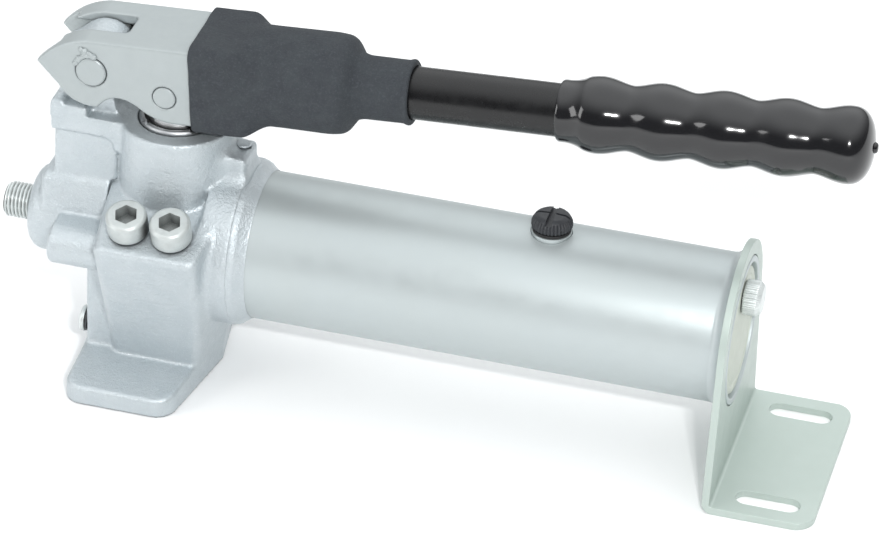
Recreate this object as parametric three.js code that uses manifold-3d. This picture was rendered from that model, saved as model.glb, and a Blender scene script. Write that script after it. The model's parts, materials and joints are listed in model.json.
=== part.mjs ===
// Hydraulic hand pump: a cast pump head on one end of a steel oil tank, a bent foot bracket on
// the other end, and a lever with a dipped grip that lifts and pushes the piston.
//
// Millimetres. X runs along the tank towards the foot bracket, Y runs across, Z is up.
// The origin is on the bench, straight below the piston, in the middle plane of the tank.

import * as THREE from 'three';
import { mergeVertices } from 'three/addons/utils/BufferGeometryUtils.js';
import Module from 'manifold-3d';

// ---------------------------------------------------------------- driving dimensions

const GAP = 0.3; // running and joint clearance between neighbouring pieces
const TANK_SIDES = 32; // facets round the tank and everything that fits on it

// Oil tank
const TANK_AXIS_Z = 56.2;
const TANK_RADIUS = 28.7;
const TANK_WALL = 2.6;
const TANK_START = 21.3;
const TANK_END = 223.1;
const FILLER_X = 147.8;

// Cast pump head
const FOOT = { left: -30, right: 20, endRight: 13.3, halfWidth: 48, height: 7.7, corner: 4.2 };
const STEP = { left: -29.3, near: -21.5, far: 26, top: 48.5 };
const BOSS_RADIUS = 22;
const BOSS_TOP = 106;
const FULCRUM_BLOCK = { topLeft: -44.3, baseLeft: -46.5, halfWidth: 10.5 };
const LEDGE = { left: -45.4, stepX: -32.4, halfWidth: 12, base: 98.4, top: 109.8 };
const STOP_PAD = { right: -40.4, top: 111.2 };
const SHOULDER = { left: -51, top: 78.5, topHalf: 11.5, bottom: 60, baseHalf: 17 };
const OUTLET = { radius: 17, end: -56.2, edge: 3.2 };
const SIDE_BOSS = { end: -42, near: -32.2, top: 64.5, bottom: 48.1, edge: 8.2 };
const COLLAR_RADIUS = 32.5;
const COLLAR_START = 17.5;
const COLLAR_END = 30;
const RIDGE = { left: 8, right: 29.8, halfWidth: 8.5, top: 97, slopeTop: 94 };
const GALLERY_PLUG = { x: 25.7, y: 2.5, top: 98.3 };

// Two valves side by side, drilled in from a pad that slopes down towards the near side
const VALVE_TILT = THREE.MathUtils.degToRad(20);
const VALVE_PAD = { y: -32.1, z: 72, frontY: -43.2 };
const FRONT_LEAN = 0.335;
const LOW_SIDE = { baseRight: 16.6, topRight: 23.8, top: 32 };
const SIDE_DRIFT = 0.04;
const DELIVERY_X = -8.6;
const RELIEF_X = 8.6;
const INLET = { y: -15.2, z: 17.7 };
const RELEASE = { x: -3, z: 44, bossEnd: 36 };

// Lever: its own frame has the fulcrum pin at the origin and the handle along its x
const FULCRUM = { x: -28.9, z: 129.4, pinRadius: 6, lugRadius: 12.4, lugHalf: 6.25 };
const LEVER_RISE = THREE.MathUtils.degToRad(3.35);
const PISTON_PIN = { x: 28.5, z: -7.6, radius: 4.5 };
const CHANNEL = { half: 17, sheet: 4, top: 12.8, bottom: -18.6, end: 62 };
const HANDLE_Z = -2.1;
const HANDLE_RADIUS = 10;
const SOCKET_RADIUS = 16.5;
const SLEEVE = { start: 39, boxEnd: 62.5, drumEnd: 94.5, neckStart: 101, end: 121.3 };
const GRIP = { start: 177.6, firstBulge: 192.4, pitch: 23.34, bulges: 5, end: 295.2, tip: 296.9 };

// Piston, straight under the piston pin when the lever is down
const PISTON_PIN_HEIGHT = 123.5;
const LOW_STAGE_RADIUS = 11;
const HIGH_STAGE_RADIUS = 5.5;
const BARREL_RADIUS = 12.5;
const BARREL_FLOOR = 66;
const STEP_HEIGHT = 68.5;
const GLAND = { radius: 14.5, bottom: 96, top: 107.5 };

// Foot bracket
const PLATE = { front: 220.5, sheet: 2.9, archRadius: 34.8, halfWidth: 42.4, end: 262.8 };
const SLOT = { centre: 243.85, length: 24.7, width: 8.8, offset: 31 };
const VENT_Z = 71.3;

// ---------------------------------------------------------------- solids: join and cut

const wasm = await Module();
wasm.setup();

function toSolid(geometry) {
  const bare = geometry.clone();
  bare.deleteAttribute('normal');
  bare.deleteAttribute('uv');
  const merged = mergeVertices(bare, 1e-4);
  return new wasm.Manifold(new wasm.Mesh({
    numProp: 3,
    vertProperties: merged.attributes.position.array,
    triVerts: new Uint32Array(merged.index.array),
  }));
}

function toGeometry(solid) {
  const mesh = solid.getMesh();
  const geometry = new THREE.BufferGeometry();
  geometry.setAttribute('position', new THREE.BufferAttribute(mesh.vertProperties, 3));
  geometry.setIndex(new THREE.BufferAttribute(mesh.triVerts, 1));
  geometry.computeVertexNormals();
  return geometry;
}

function build(added, cut = []) {
  let solid = toSolid(added[0]);
  for (const piece of added.slice(1)) solid = solid.add(toSolid(piece));
  for (const piece of cut) solid = solid.subtract(toSolid(piece));
  return toGeometry(solid);
}

// ---------------------------------------------------------------- basic shapes

// Turn a shape made along Z so that it lies along another axis.
function along(axis, geometry) {
  if (axis === 'x') return geometry.rotateY(Math.PI / 2);
  if (axis === 'y') return geometry.rotateX(-Math.PI / 2);
  return geometry;
}

function cylinder(axis, radius, from, to, centre = [0, 0, 0], sides = 24) {
  const shape = new THREE.CylinderGeometry(radius, radius, to - from, sides);
  shape.rotateX(Math.PI / 2).translate(0, 0, (from + to) / 2);
  return along(axis, shape).translate(...centre);
}

// A body of revolution. The profile is a list of [radius, height] from bottom to top.
function turned(axis, profile, centre = [0, 0, 0], sides = 24) {
  const points = profile.map(([radius, height]) => new THREE.Vector2(radius, height));
  const shape = new THREE.LatheGeometry(points, sides).rotateX(Math.PI / 2);
  return along(axis, shape).translate(...centre);
}

// A ring whose cross-section is the closed outline given, inner edge first.
function ring(axis, inner, outer, from, to, centre = [0, 0, 0], sides = 24) {
  const section = [[inner, from], [outer, from], [outer, to], [inner, to], [inner, from]];
  return turned(axis, section, centre, sides);
}

// A plain round bar with both rims chamfered.
function chamferedBar(axis, radius, from, to, chamfer, centre = [0, 0, 0], sides = 20) {
  const profile = [
    [0, from], [radius - chamfer, from], [radius, from + chamfer],
    [radius, to - chamfer], [radius - chamfer, to], [0, to],
  ];
  return turned(axis, profile, centre, sides);
}

function box(x0, x1, y0, y1, z0, z1) {
  return new THREE.BoxGeometry(x1 - x0, y1 - y0, z1 - z0)
    .translate((x0 + x1) / 2, (y0 + y1) / 2, (z0 + z1) / 2);
}

function extruded(shape, depth, curveSegments = 4) {
  return new THREE.ExtrudeGeometry(shape, { depth, bevelEnabled: false, curveSegments });
}

// Slabs: an outline in one plane, given a thickness across it.
function slabXY(shape, z0, z1, curveSegments) {
  return extruded(shape, z1 - z0, curveSegments).translate(0, 0, z0);
}

function slabXZ(shape, y0, y1, curveSegments) {
  return extruded(shape, y1 - y0, curveSegments).rotateX(Math.PI / 2).translate(0, y1, 0);
}

function slabYZ(shape, x0, x1, curveSegments) {
  const turn = new THREE.Matrix4().makeBasis(
    new THREE.Vector3(0, 1, 0), new THREE.Vector3(0, 0, 1), new THREE.Vector3(1, 0, 0));
  return extruded(shape, x1 - x0, curveSegments).applyMatrix4(turn).translate(x0, 0, 0);
}

function outline(points) {
  return new THREE.Shape(points.map(([x, y]) => new THREE.Vector2(x, y)));
}

function roundedRectangle(x0, x1, y0, y1, radius) {
  const shape = new THREE.Shape();
  shape.moveTo(x0 + radius, y0);
  shape.absarc(x1 - radius, y0 + radius, radius, -Math.PI / 2, 0);
  shape.absarc(x1 - radius, y1 - radius, radius, 0, Math.PI / 2);
  shape.absarc(x0 + radius, y1 - radius, radius, Math.PI / 2, Math.PI);
  shape.absarc(x0 + radius, y0 + radius, radius, Math.PI, 1.5 * Math.PI);
  return shape;
}

// A small drilled passage from one point to another.
function passage(from, to, radius) {
  const start = new THREE.Vector3(...from);
  const run = new THREE.Vector3(...to).sub(start);
  const shape = new THREE.CylinderGeometry(radius, radius, run.length(), 8);
  const turn = new THREE.Quaternion().setFromUnitVectors(
    new THREE.Vector3(0, 1, 0), run.clone().normalize());
  return shape.applyQuaternion(turn).translate(...start.addScaledVector(run, 0.5).toArray());
}

class Helix extends THREE.Curve {
  constructor(radius, height, turns) {
    super();
    Object.assign(this, { radius, height, turns });
  }

  getPoint(t, target = new THREE.Vector3()) {
    const angle = 2 * Math.PI * this.turns * t;
    return target.set(
      this.radius * Math.cos(angle), this.radius * Math.sin(angle), this.height * t);
  }
}

function coilSpring(radius, wire, from, to, turns) {
  const section = new THREE.Shape();
  section.absarc(0, 0, wire, 0, 2 * Math.PI);
  const path = new Helix(radius, to - from - 2 * wire, turns);
  const coil = new THREE.ExtrudeGeometry(section, {
    extrudePath: path, steps: turns * 8, curveSegments: 3, bevelEnabled: false,
  });
  return coil.translate(0, 0, from + wire);
}

// ---------------------------------------------------------------- finishes

function finish(color, roughness, metalness) {
  return { color, roughness, metalness };
}

const CAST_PAINT = finish(0xc6ccd0, 0.5, 0.35);
const TANK_PAINT = finish(0xcdd5d8, 0.35, 0.4);
const BRACKET_PAINT = finish(0xc3d3cb, 0.45, 0.1);
const LEVER_PAINT = finish(0xc2cac8, 0.45, 0.3);
const ZINC = finish(0xc4ccca, 0.4, 0.7);
const STEEL = finish(0xb4b6b8, 0.3, 0.9);
const HARD_CHROME = finish(0xd8dadc, 0.15, 1);
const BRONZE = finish(0xa9814a, 0.4, 0.9);
const DARK_WASHER = finish(0x585a5c, 0.4, 0.9);
const CAP_FACE = finish(0xd3d2c4, 0.5, 0.2);
const BLACK_PAINT = finish(0x111214, 0.25, 0.2);
const GRIP_VINYL = finish(0x08080a, 0.12, 0);
const SLEEVE_RUBBER = finish(0x3a3e42, 0.85, 0);
const BLACK_PLASTIC = finish(0x17191a, 0.45, 0);
const SEAL_RUBBER = finish(0x1a1a1a, 0.6, 0);

const pump = new THREE.Group();
const lever = new THREE.Group();
lever.position.set(FULCRUM.x, 0, FULCRUM.z);
lever.rotation.y = -LEVER_RISE;
pump.add(lever);

function addPart(name, geometry, look, group = pump) {
  const mesh = new THREE.Mesh(geometry, new THREE.MeshStandardMaterial(look));
  mesh.name = name;
  group.add(mesh);
}

// ---------------------------------------------------------------- cast pump head

// A solid, or a point, placed in the tilted frame of one valve: the pad is at height 0 and the
// chamber runs down from it.
function inValve(x, geometry) {
  return geometry.rotateX(VALVE_TILT).translate(x, VALVE_PAD.y, VALVE_PAD.z);
}

function valvePoint(x, height) {
  return [x, VALVE_PAD.y - height * Math.sin(VALVE_TILT), VALVE_PAD.z + height * Math.cos(VALVE_TILT)];
}

// Main block: its front leans out to the sloping valve pad, and its sides flare back to the boss.
function valveBlock() {
  const slope = Math.tan(VALVE_TILT);
  const padFront = VALVE_PAD.z + slope * (VALVE_PAD.frontY - VALVE_PAD.y);
  const profile = slabYZ(outline([
    [-22.4, 5], [26, 5], [31, 62], [28, 68], [12, 70], [0, VALVE_PAD.z - slope * VALVE_PAD.y],
    [VALVE_PAD.frontY + 1, padFront + slope], [VALVE_PAD.frontY, padFront - 1],
  ]), -30, 30);
  const farTaper = slabXY(outline([[-30, -60], [30, -60], [30, 0], [18, 34], [-18, 34], [-30, 0]]), 0, 100);
  // Each side is a plane through the leaning front edge; drift is how fast it leans along X
  const flaredSide = (sign, front, back, drift) => {
    const points = [[front, -50], [back, -19], [back, 80], [-40, 80], [-40, -50]];
    const plan = sign > 0 ? points : points.map(([x, y]) => [-x, y]).reverse();
    return slabXY(outline(plan), 0, 100).applyMatrix4(new THREE.Matrix4().set(
      1, 0, -drift, drift * padFront,
      0, 1, -FRONT_LEAN, FRONT_LEAN * padFront,
      0, 0, 1, 0,
      0, 0, 0, 1));
  };
  let block = toSolid(profile);
  for (const piece of [farTaper, flaredSide(1, 19.6, 23.8, -0.016), flaredSide(-1, 19.5, 23.2, SIDE_DRIFT)]) {
    block = block.intersect(toSolid(piece));
  }
  const lowSide = slabXZ(outline([
    [LOW_SIDE.baseRight, 0], [40, 0], [40, LOW_SIDE.top], [LOW_SIDE.topRight, LOW_SIDE.top],
  ]), -60, 60);
  return toGeometry(block.subtract(toSolid(lowSide)));
}

function headCasting() {
  // The foot is widest in the middle, and its corners are cut off
  const side = FOOT.halfWidth - FOOT.corner;
  const foot = slabXY(outline([
    [FOOT.left + FOOT.corner, -FOOT.halfWidth], [FOOT.endRight - FOOT.corner, -FOOT.halfWidth],
    [FOOT.endRight, -side], [FOOT.right, 0], [FOOT.endRight, side],
    [FOOT.endRight - FOOT.corner, FOOT.halfWidth], [FOOT.left + FOOT.corner, FOOT.halfWidth],
    [FOOT.left, side], [FOOT.left, -side],
  ]), 0, FOOT.height);
  const step = box(STEP.left, -10, STEP.near, STEP.far, 5, STEP.top);
  const boss = turned('z', [[0, 40], [BOSS_RADIUS, 40], [BOSS_RADIUS, BOSS_TOP - 1],
    [BOSS_RADIUS - 1, BOSS_TOP], [0, BOSS_TOP]], [0, 0, 0], 32);
  const fulcrumBlock = slabXZ(outline([
    [FULCRUM_BLOCK.baseLeft, 50], [-10, 50], [-10, LEDGE.base + 2],
    [FULCRUM_BLOCK.topLeft, LEDGE.base + 2], [FULCRUM_BLOCK.baseLeft, SHOULDER.top],
  ]), -FULCRUM_BLOCK.halfWidth, FULCRUM_BLOCK.halfWidth);
  const ledge = slabXZ(outline([
    [LEDGE.left, LEDGE.base], [-12, LEDGE.base], [-12, BOSS_TOP], [LEDGE.stepX + 1, BOSS_TOP],
    [LEDGE.stepX, LEDGE.top], [STOP_PAD.right, LEDGE.top], [STOP_PAD.right - 1, STOP_PAD.top],
    [LEDGE.left, STOP_PAD.top],
  ]), -LEDGE.halfWidth, LEDGE.halfWidth);
  const { topHalf, baseHalf } = SHOULDER;
  const shoulder = slabYZ(outline([
    [-baseHalf, SHOULDER.bottom], [baseHalf, SHOULDER.bottom], [topHalf, SHOULDER.top],
    [-topHalf, SHOULDER.top],
  ]), SHOULDER.left, -10);
  const lugEye = cylinder('y', FULCRUM.lugRadius, -FULCRUM.lugHalf, FULCRUM.lugHalf,
    [FULCRUM.x, 0, FULCRUM.z], 32);
  const lugWeb = slabXZ(outline([
    [FULCRUM.x - FULCRUM.lugRadius, BOSS_TOP - 2], [-17, BOSS_TOP - 2], [-17, BOSS_TOP],
    [-20.5, BOSS_TOP + 1.4], [-22.9, BOSS_TOP + 5.5], [FULCRUM.x + 5, FULCRUM.z],
    [FULCRUM.x - FULCRUM.lugRadius, FULCRUM.z],
  ]), -FULCRUM.lugHalf, FULCRUM.lugHalf);
  const { radius, end, edge } = OUTLET;
  const outletBoss = turned('x', [[0, end], [radius - 2 * edge, end], [radius - 0.6 * edge, end + 0.6 * edge],
    [radius, end + 2 * edge], [radius, -8], [0, -8]], [0, 0, TANK_AXIS_Z]);
  const sideBoss = slabYZ(roundedRectangle(SIDE_BOSS.near, -5, SIDE_BOSS.bottom, SIDE_BOSS.top,
    SIDE_BOSS.edge - 0.01), SIDE_BOSS.end, -10);
  const collar = cylinder('x', COLLAR_RADIUS, COLLAR_START, COLLAR_END, [0, 0, TANK_AXIS_Z], TANK_SIDES);
  const ridge = slabXZ(outline([
    [RIDGE.left, 60], [RIDGE.right, 60], [RIDGE.right, RIDGE.slopeTop],
    [RIDGE.right - 0.6, RIDGE.top], [RIDGE.left, RIDGE.top],
  ]), -RIDGE.halfWidth, RIDGE.halfWidth);
  const releaseBoss = cylinder('y', 9.5, 20, RELEASE.bossEnd, [RELEASE.x, 0, RELEASE.z], 24);

  // Barrel for the stepped piston, with the seat for the gland above it
  const glandSeat = cylinder('z', GLAND.radius + GAP, GLAND.bottom - GAP, 120, [0, 0, 0], 32);
  const barrel = cylinder('z', BARREL_RADIUS, BARREL_FLOOR, 100);
  const narrowBarrel = cylinder('z', HIGH_STAGE_RADIUS + GAP, 34, 70, [0, 0, 0], 24);
  const fulcrumBore = cylinder('y', FULCRUM.pinRadius + GAP, -10, 10,
    [FULCRUM.x, 0, FULCRUM.z], 24);

  // Groove that takes the front end of the tank
  const tankGroove = ring('x', TANK_RADIUS - TANK_WALL - GAP, TANK_RADIUS + GAP,
    TANK_START - GAP, COLLAR_END + 5, [0, 0, TANK_AXIS_Z], TANK_SIDES);

  // Valve chambers: a bore for the screw, a narrower one for the spring and ball, and the seat
  const chambers = [DELIVERY_X, RELIEF_X].flatMap((x) => [
    inValve(x, cylinder('z', 5 + GAP, -12.8, 20, [0, 0, 0], 16)),
    inValve(x, cylinder('z', 3.6, -25.9, -10, [0, 0, 0], 16)),
    inValve(x, cylinder('z', 1.6, -30, -24, [0, 0, 0], 8)),
  ]);

  // Inlet valve chamber, drilled in from the end and closed by a plug
  const inletChamber = cylinder('x', 3 + GAP, STEP.left - 5, -6, [0, INLET.y, INLET.z], 16);

  const outletBore = cylinder('x', 7 + GAP, OUTLET.end - 5, -43, [0, 0, TANK_AXIS_Z], 24);
  const releaseBore = cylinder('y', 4 + GAP, 19, 60, [RELEASE.x, 0, RELEASE.z], 16);
  const galleryBore = cylinder('z', 2.2 + GAP, 88, 110, [GALLERY_PLUG.x, GALLERY_PLUG.y, 0], 16);

  const passages = [
    passage([-44, 0, TANK_AXIS_Z], valvePoint(DELIVERY_X, -17), 1.8),
    passage(valvePoint(DELIVERY_X, -29), [0, 0, 39], 1.6),
    passage(valvePoint(RELIEF_X, -29), [0, 0, 39], 1.6),
    passage(valvePoint(RELIEF_X, -17), [COLLAR_END + 1, -14, 50], 1.8),
    passage([-8, INLET.y, INLET.z], [0, 0, 38], 1.6),
    passage([-9, INLET.y, INLET.z], [24, 0, 40], 1.8),
    passage([24, 0, 40], [COLLAR_END + 1, 0, 40], 2.4),
    passage([0, 0, 36], [RELEASE.x, 21, RELEASE.z], 1.6),
    passage([GALLERY_PLUG.x, GALLERY_PLUG.y, 89], [4, 0, 80], 1.6),
    passage([GALLERY_PLUG.x, GALLERY_PLUG.y, 90], [COLLAR_END - 4, 0, 62], 1.6),
    passage([COLLAR_END - 5, 0, 62], [COLLAR_END + 1, 0, 62], 1.6),
  ];

  return build(
    [foot, valveBlock(), step, boss, fulcrumBlock, ledge, shoulder, lugEye, lugWeb, outletBoss,
      sideBoss, collar, ridge, releaseBoss],
    [tankGroove, glandSeat, barrel, narrowBarrel, fulcrumBore, ...chambers, inletChamber,
      outletBore, releaseBore, galleryBore, ...passages]);
}

addPart('pump_head', headCasting(), CAST_PAINT);

// ---------------------------------------------------------------- valves and plugs in the head

// Cap screw with a hexagon socket, standing head up on the pad.
function capScrew() {
  const head = turned('z', [[0, 1.3], [7.9, 1.3], [7.9, 9.5], [7.2, 10.2], [0, 10.2]]);
  const shank = cylinder('z', 5, -12.5, 2, [0, 0, 0], 16);
  const socket = cylinder('z', 4.6, 5.2, 20, [0, 0, 0], 6);
  return build([head, shank], [socket]);
}

for (const [name, x] of [['delivery', DELIVERY_X], ['relief', RELIEF_X]]) {
  addPart(`${name}_cap_screw`, inValve(x, capScrew()), ZINC);
  addPart(`${name}_sealing_washer`, inValve(x, ring('z', 5 + GAP, 7.4, GAP, 1)), STEEL);
  addPart(`${name}_spring`, inValve(x, coilSpring(2.2, 0.35, -18.1, -12.9, 5)), STEEL);
  addPart(`${name}_ball`, inValve(x, new THREE.SphereGeometry(3, 12, 8).translate(0, 0, -22.6)), STEEL);
}

const inletCentre = [0, INLET.y, INLET.z];
const inletPlug = build([
  chamferedBar('x', 5.2, STEP.left - 3.6, STEP.left - 1.5, 0.5, inletCentre, 20),
  cylinder('x', 3, STEP.left - 2, -15, inletCentre, 16),
]);
addPart('inlet_plug', inletPlug, ZINC);
addPart('inlet_plug_washer', ring('x', 3 + GAP, 4.8, STEP.left - 1.2, STEP.left - GAP, inletCentre, 20),
  DARK_WASHER);
addPart('inlet_ball', new THREE.SphereGeometry(2.6, 12, 8).translate(-9.2, INLET.y, INLET.z), STEEL);

const galleryCentre = [GALLERY_PLUG.x, GALLERY_PLUG.y, 0];
const galleryPlug = build([
  chamferedBar('z', 3, RIDGE.top + GAP, GALLERY_PLUG.top, 0.4, galleryCentre, 16),
  cylinder('z', 2.2, 91, RIDGE.top + 0.8, galleryCentre, 16),
]);
addPart('gallery_plug', galleryPlug, CAST_PAINT);

// Outlet union: a threaded stub with a through bore, screwed into its boss
const outletUnion = build([
  turned('x', [[0, -68.4], [5.8, -68.4], [7, -67.2], [7, -44], [0, -44]], [0, 0, TANK_AXIS_Z], 24),
], [cylinder('x', 3.2, -80, -30, [0, 0, TANK_AXIS_Z], 16)]);
addPart('outlet_union', outletUnion, ZINC);

// Release valve on the far side: a spindle with a round knurled knob
const releaseCentre = [RELEASE.x, 0, RELEASE.z];
const releaseSpindle = turned('y', [[0, 22.4], [4, 26], [4, 49.8], [0, 49.8]], releaseCentre, 20);
addPart('release_spindle', releaseSpindle, STEEL);
addPart('release_knob', build(
  [chamferedBar('y', 11, 38.6, 48.2, 1.2, releaseCentre, 24)],
  [cylinder('y', 4 + GAP, 30, 60, releaseCentre, 20)]), ZINC);
addPart('release_seal', ring('y', 4 + GAP, 6.6, RELEASE.bossEnd + GAP, 37.9, releaseCentre, 20),
  SEAL_RUBBER);

// ---------------------------------------------------------------- piston and gland

const glandBush = build([
  turned('z', [[0, GLAND.bottom], [GLAND.radius, GLAND.bottom], [GLAND.radius, GLAND.top - 0.8],
    [GLAND.radius - 0.8, GLAND.top], [0, GLAND.top]], [0, 0, 0], 32),
], [
  cylinder('z', LOW_STAGE_RADIUS + GAP, 90, 120),
  cylinder('z', 13.2, GLAND.top - 2.8, 120),
]);
addPart('gland_bush', glandBush, STEEL);
addPart('wiper_ring', ring('z', LOW_STAGE_RADIUS + GAP, 12.9, GLAND.top - 2.5, GLAND.top + 0.4),
  SEAL_RUBBER);

function steppedPiston() {
  const rod = turned('z', [
    [0, 40], [HIGH_STAGE_RADIUS - 0.6, 40], [HIGH_STAGE_RADIUS, 40.6], [HIGH_STAGE_RADIUS, 43],
    [4.2, 43], [4.2, 45.5], [HIGH_STAGE_RADIUS, 45.5], [HIGH_STAGE_RADIUS, STEP_HEIGHT],
    [LOW_STAGE_RADIUS, STEP_HEIGHT], [LOW_STAGE_RADIUS, 70.5], [8.8, 70.5], [8.8, 74],
    [LOW_STAGE_RADIUS, 74], [LOW_STAGE_RADIUS, 114], [0, 114],
  ]);
  const eyeOutline = roundedRectangle(-12.2, 10, 111.5, 131.2, 4);
  const eye = slabXZ(eyeOutline, -9, 9);
  // The pin swings on an arc while the piston moves straight, so its hole is long across
  const slotRadius = PISTON_PIN.radius + 0.5;
  const pinSlot = slabXZ(roundedRectangle(-7.9, 5.6, PISTON_PIN_HEIGHT - slotRadius,
    PISTON_PIN_HEIGHT + slotRadius, slotRadius - 0.01), -12, 12);
  return build([rod, eye], [pinSlot]);
}

addPart('piston', steppedPiston(), HARD_CHROME);
addPart('low_stage_seal', ring('z', 9.1, BARREL_RADIUS - GAP, 70.8, 73.7), SEAL_RUBBER);
addPart('high_stage_seal', ring('z', 4.5, HIGH_STAGE_RADIUS + 0.05, 43.3, 45.2, [0, 0, 0], 20),
  SEAL_RUBBER);

// ---------------------------------------------------------------- tank

const tankCentre = [0, 0, TANK_AXIS_Z];
const CAP_FACE_X = TANK_END - GAP;
const tankTube = build(
  [ring('x', TANK_RADIUS - TANK_WALL, TANK_RADIUS, TANK_START, TANK_END, tankCentre, TANK_SIDES)],
  [cylinder('z', 7.7 + GAP, 70, 95, [FILLER_X, 0, 0], 24)]);
addPart('oil_tank', tankTube, TANK_PAINT);

addPart('front_weld', turned('x', [
  [TANK_RADIUS + GAP, COLLAR_END + GAP], [COLLAR_RADIUS - 0.3, COLLAR_END + GAP],
  [COLLAR_RADIUS - 0.6, COLLAR_END + 3], [TANK_RADIUS + 2.2, COLLAR_END + 6],
  [TANK_RADIUS + GAP, COLLAR_END + 9], [TANK_RADIUS + GAP, COLLAR_END + GAP],
], tankCentre, TANK_SIDES), CAST_PAINT);

const rearWeldEnd = PLATE.front - GAP;
addPart('rear_weld', turned('x', [
  [TANK_RADIUS + GAP, rearWeldEnd - 4.2], [TANK_RADIUS + 1.2, rearWeldEnd - 3],
  [TANK_RADIUS + 2.4, rearWeldEnd - 1.6], [TANK_RADIUS + 4, rearWeldEnd],
  [TANK_RADIUS + GAP, rearWeldEnd], [TANK_RADIUS + GAP, rearWeldEnd - 4.2],
], tankCentre, TANK_SIDES), TANK_PAINT);

const endCap = build([
  cylinder('x', TANK_RADIUS - TANK_WALL - GAP, 209, CAP_FACE_X, tankCentre, TANK_SIDES),
], [
  cylinder('x', 21, 200, 216, tankCentre, 24),
  cylinder('x', 4 + GAP, 200, 230, [0, 0, VENT_Z], 16),
]);
addPart('tank_end_cap', endCap, CAP_FACE);

const suctionTube = build(
  [cylinder('x', 3, COLLAR_END + GAP, 120, [0, 0, 40], 12)],
  [cylinder('x', 2.1, 20, 130, [0, 0, 40], 12)]);
addPart('suction_tube', suctionTube, STEEL);
const strainer = build(
  [cylinder('x', 5.2, 114, 132, [0, 0, 40], 16)],
  [cylinder('x', 3 + GAP, 110, 120 + GAP, [0, 0, 40], 12),
    cylinder('x', 4.2, 119, 130.8, [0, 0, 40], 12)]);
addPart('suction_strainer', strainer, BRONZE);

// Filler: a bung in the tank wall, its ring seal, and a breather cap with a cross slot
const TANK_CREST = TANK_AXIS_Z + TANK_RADIUS;
addPart('filler_bung', ring('z', 5.5 + GAP, 7.7, 77, TANK_CREST + 0.5, [FILLER_X, 0, 0], 24),
  TANK_PAINT);
addPart('filler_seal', ring('z', 5.5 + GAP, 7.5, TANK_CREST + 0.8, TANK_CREST + 1.8,
  [FILLER_X, 0, 0], 24), SEAL_RUBBER);
const capBase = TANK_CREST + 2.1;
const capTop = TANK_CREST + 8;
const fillerCap = build([
  turned('z', [[0, capBase], [8, capBase], [7.9, capBase + 2.4], [6.3, capTop - 0.8],
    [5.2, capTop - 0.1], [0, capTop]], [FILLER_X, 0, 0], 24),
  cylinder('z', 5.5, 78, capBase + 1, [FILLER_X, 0, 0], 20),
], [
  box(FILLER_X - 1.2, FILLER_X + 1.2, -9, 9, capTop - 1.8, capTop + 2),
  box(FILLER_X - 9, FILLER_X + 9, -0.6, 0.6, capTop - 1.8, capTop + 2),
]);
addPart('filler_cap', fillerCap, BLACK_PLASTIC);

// ---------------------------------------------------------------- foot bracket

// Arch with straight sides that run from the round top down to the full width of the foot.
function archShape() {
  const { archRadius, halfWidth } = PLATE;
  const reach = Math.hypot(halfWidth, TANK_AXIS_Z);
  const tangent = Math.atan2(-TANK_AXIS_Z, halfWidth) + Math.acos(archRadius / reach);
  const shape = new THREE.Shape();
  shape.moveTo(-halfWidth, 0);
  shape.lineTo(halfWidth, 0);
  shape.absarc(0, TANK_AXIS_Z, archRadius, tangent, Math.PI - tangent);
  shape.closePath();
  return shape;
}

function footBracket() {
  const { front, sheet, halfWidth, end } = PLATE;
  const bend = new THREE.Shape();
  bend.moveTo(front, 110);
  bend.lineTo(front, 6);
  bend.absarc(front + 6, 6, 6, Math.PI, 1.5 * Math.PI);
  bend.lineTo(end, 0);
  bend.lineTo(end, sheet);
  bend.lineTo(front + 6, sheet);
  bend.absarc(front + 6, 6, 6 - sheet, 1.5 * Math.PI, Math.PI, true);
  bend.lineTo(front + sheet, 110);
  bend.closePath();
  const bentSheet = toSolid(slabXZ(bend, -halfWidth - 5, halfWidth + 5));
  const archPrism = toSolid(slabYZ(archShape(), 200, 280, 20));
  const footPrism = toSolid(slabXY(
    roundedRectangle(180, end, -halfWidth, halfWidth, 8), -5, 120));
  const slots = [-SLOT.offset, SLOT.offset].map((y) => slabXY(roundedRectangle(
    SLOT.centre - SLOT.length / 2, SLOT.centre + SLOT.length / 2,
    y - SLOT.width / 2, y + SLOT.width / 2, SLOT.width / 2 - 0.01), -2, 8));
  const tankHole = cylinder('x', TANK_RADIUS + GAP, 210, 240, tankCentre, TANK_SIDES);
  let bracket = bentSheet.intersect(archPrism).intersect(footPrism);
  for (const hole of [...slots, tankHole]) bracket = bracket.subtract(toSolid(hole));
  return toGeometry(bracket);
}

addPart('foot_bracket', footBracket(), BRACKET_PAINT);

// Knurled vent screw in the end cap, with a ring seal under its head
const ventCentre = [0, 0, VENT_Z];
addPart('vent_screw_seal', ring('x', 4 + GAP, 5.8, CAP_FACE_X + GAP, CAP_FACE_X + 1, ventCentre, 20),
  SEAL_RUBBER);
addPart('vent_screw', build([
  turned('x', [[0, CAP_FACE_X + 1.3], [6.75, CAP_FACE_X + 1.3], [6.75, CAP_FACE_X + 6.6],
    [5, CAP_FACE_X + 8.3], [0, CAP_FACE_X + 8.3]], ventCentre, 24),
  cylinder('x', 4, 211, CAP_FACE_X + 2, ventCentre, 16),
]), ZINC);

// ---------------------------------------------------------------- lever

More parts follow.
